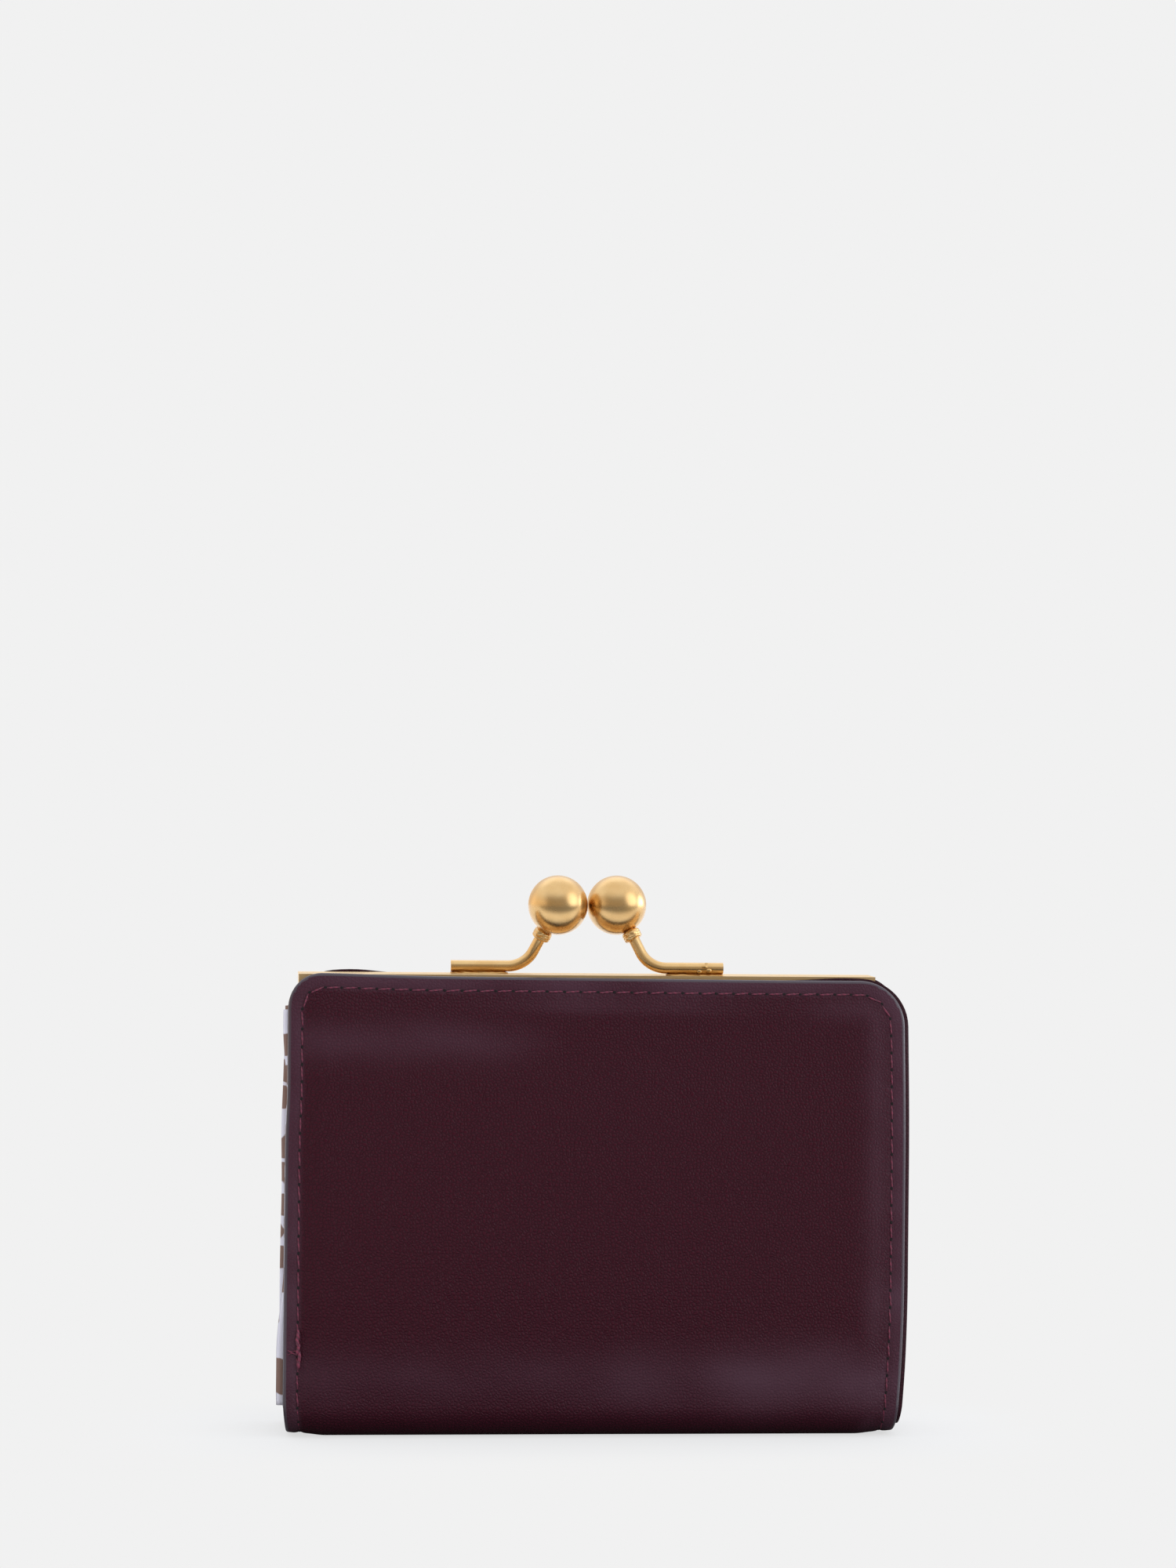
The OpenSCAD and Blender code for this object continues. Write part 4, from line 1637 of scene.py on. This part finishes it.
@dataclass
class Studio:
    """Camera, light and the pale floor, at the photograph's viewing angle."""

    azimuth: float = -5.0
    distance: float = 753.3
    height: float = 115.2
    pitch: float = -0.04
    roll: float = 0.58
    focal_px: float = 5399.0
    aim_x: float = -0.1
    backdrop: str = "#F1F1F1"
    card: str = "#E4E4E4"
    room: str = "#FFF1DC"
    daylight: str = "#F0F6FF"
    # Directions of the softbox to the right of the camera, seen as the bright spot on the balls, and of
    # the strip light to the right of the purse, which draws the bright line on its right edge
    softbox: tuple[float, float, float] = (0.80, -0.50, 0.33)
    strip: tuple[float, float, float] = (0.97, 0.24, 0.05)
    tent: float = 0.46

    def camera(self) -> None:
        """Makes the camera from its place round and above the purse, its pitch and its roll."""
        data = bpy.data.cameras.new("camera")
        data.lens = self.focal_px * SENSOR / PHOTO_H
        data.sensor_width = SENSOR
        data.clip_start, data.clip_end = 0.05, 20
        camera = bpy.data.objects.new("camera", data)
        a, p = math.radians(self.azimuth), math.radians(self.pitch)
        spot = Vector((math.sin(a) * self.distance, -math.cos(a) * self.distance, self.height)) * MM
        forward = Vector((-math.sin(a) * math.cos(p), math.cos(a) * math.cos(p), math.sin(p)))
        turn = forward.to_track_quat("-Z", "Y").to_matrix().to_4x4()
        right = turn.col[0].to_3d()
        camera.matrix_world = (Matrix.Translation(spot + right * self.aim_x * MM)
                               @ Matrix.Rotation(math.radians(-self.roll), 4, forward) @ turn)
        bpy.context.scene.collection.objects.link(camera)
        bpy.context.scene.camera = camera

    def lights(self) -> None:
        """Makes the light tent that surrounds the purse, with its softboxes, and the front fill."""
        world = bpy.data.worlds.new("light_tent")
        world.use_nodes = True
        bpy.context.scene.world = world
        tree = world.node_tree
        tree.nodes.clear()
        way = add_node(tree, "TexCoord").outputs["Generated"]
        axes = add_node(tree, "SeparateXYZ", {0: way}).outputs
        spot, rim = (add_node(tree, "VectorMath", {0: way, 1: box}, operation="DOT_PRODUCT")
                     for box in (self.softbox, self.strip))
        # Where each box starts and is at its full strength, and that strength
        parts = ((axes["Z"], 0.35, 0.8, 0.8), (axes["X"], 0.55, 0.9, 0.6), (axes["X"], -0.6, -0.95, 0.65),
                 (axes["Y"], 0.1, 0.6, 0.5), (spot, 0.87, 0.99, 1.6), (rim, 0.93, 0.99, 3.5))
        total: Any = self.tent
        for source, low, high, level in parts:
            part = add_node(tree, "MapRange", {"Value": source, "From Min": low, "From Max": high,
                                               "To Max": level}, interpolation_type="SMOOTHSTEP")
            total = add_node(tree, "Math", {0: part, 1: total})
        # The boxes are daylight, and the room behind the camera is warmer
        cool: Any = axes["Z"]
        for source, less in ((rim, 0.3), (spot, 0.42)):
            near = add_node(tree, "Math", {0: source, 1: less}, operation="SUBTRACT")
            cool = add_node(tree, "Math", {0: cool, 1: near}, operation="MAXIMUM")
        share = add_node(tree, "MapRange", {"Value": cool, "From Min": 0.15, "From Max": 0.6})
        tint = add_node(tree, "Mix", {0: share, 6: self.room, 7: self.daylight}, data_type="RGBA")
        tent = add_node(tree, "Background", {"Color": tint, "Strength": total})
        seen = add_node(tree, "Background", {"Color": self.backdrop})
        path = add_node(tree, "LightPath").outputs["Is Camera Ray"]
        mix = add_node(tree, "MixShader", {0: path, 1: tent, 2: seen})
        add_node(tree, "OutputWorld", {"Surface": mix})
        fill = bpy.data.lights.new("front_fill", "AREA")
        fill.shape, fill.size, fill.size_y, fill.energy = "RECTANGLE", 1.4, 1.0, 8.0
        lamp = bpy.data.objects.new("front_fill", fill)
        lamp.location = (0.3, -1.4, 0.7)
        lamp.rotation_euler = (Vector((0, 0, 0.05)) - lamp.location).to_track_quat("-Z", "Y").to_euler()
        lamp.visible_glossy = False
        bpy.context.scene.collection.objects.link(lamp)

    def floor(self) -> None:
        """Makes the floor. The camera sees the backdrop's white and the purse's shadow close to it;
        reflections see painted light and shade.
        """
        bm = bmesh.new()
        bmesh.ops.create_grid(bm, x_segments=24, y_segments=24, size=3.0)
        bmesh.ops.translate(bm, vec=Vector((0, 0, -0.00003)), verts=bm.verts[:])
        material = bpy.data.materials.new("matt_white_card")
        material.use_nodes = True
        tree = material.node_tree
        tree.nodes.clear()
        where = add_node(tree, "TexCoord").outputs["Object"]
        # Distance outside the footprint of the purse, 107 by 20 mm
        size = add_node(tree, "VectorMath", {0: where}, operation="ABSOLUTE")
        past = add_node(tree, "VectorMath", {0: size, 1: (0.0535, 0.010, 0.0)}, operation="SUBTRACT")
        outside = add_node(tree, "VectorMath", {0: past, 1: (0.0, 0.0, 0.0)}, operation="MAXIMUM")
        length = add_node(tree, "VectorMath", {0: outside}, operation="LENGTH")
        step = {"interpolation_type": "SMOOTHSTEP"}
        near = add_node(tree, "MapRange", {"Value": length, "From Max": 0.035, "To Min": 0.26,
                                           "To Max": 0.0}, **step)
        plain = add_node(tree, "Emission", {"Color": self.backdrop, "Strength": 1.0})
        card = add_node(tree, "BsdfDiffuse", {"Color": self.card})
        # Painted light and shade on the card, seen only in reflections and bounced light: bright within a
        # hand's width in front of the purse, and grey past it
        axes = add_node(tree, "SeparateXYZ", {0: where})
        reach = add_node(tree, "MapRange", {"Value": axes.outputs["Y"], "From Min": -0.24,
                                            "From Max": -0.10, "To Min": 0.2, "To Max": 0.95}, **step)
        # Painted shadow: the card is darker close round the purse, where its contact shadow falls
        close = add_node(tree, "MapRange", {"Value": length, "From Min": 0.01, "From Max": 0.05,
                                            "To Min": 0.25}, **step)
        level = add_node(tree, "Math", {0: reach, 1: close}, operation="MULTIPLY")
        bounce_with_painted_light = add_node(tree, "BsdfDiffuse", {"Color": level})
        seen = add_node(tree, "MixShader", {0: near, 1: plain, 2: card})
        path = add_node(tree, "LightPath").outputs["Is Camera Ray"]
        mix = add_node(tree, "MixShader", {0: path, 1: bounce_with_painted_light, 2: seen})
        add_node(tree, "OutputMaterial", {"Surface": mix})
        finished(bm, "studio_floor", (material,))


def main() -> None:
    """Builds the purse on its frame, piece by piece, and the studio round it."""
    logging.basicConfig(level=logging.INFO, format="%(message)s")
    bpy.ops.wm.read_factory_settings(use_empty=True)
    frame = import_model()
    bpy.context.scene.view_settings.view_transform = "Standard"
    finishes = Finishes.make()
    studio = Studio()
    studio.camera()
    studio.lights()
    studio.floor()
    body = LeatherBody()
    pieces: list[bpy.types.Object] = []
    for half in Half:
        pieces += [ply(body, finishes, half).build() for ply in (Cover, Facing, Padding, Lining)]
        filling, seam = FrameFilling(body, finishes, half), BorderSeam(body, finishes, half)
        pieces += [filling.tape(), filling.cord(), seam.build()]
        if half is Half.FRONT:
            pieces.append(seam.back_tack())
    for side in Side:
        gusset, tab = Gusset(body, finishes, side), GussetTab(body, finishes, side)
        for half in Half:
            pieces += [gusset.strip(half), gusset.web(half)]
        pieces += [tab.build(), tab.stitches()]
    metal = ClaspMetal(finishes, frame["nodes"])
    metal.dress()
    for half in Half:
        pieces += [metal.solder(half), metal.beads(half)]
    for piece in pieces:
        log.info("%s: %d faces", piece.name, len(piece.data.polygons))


if __name__ == "__main__":
    main()
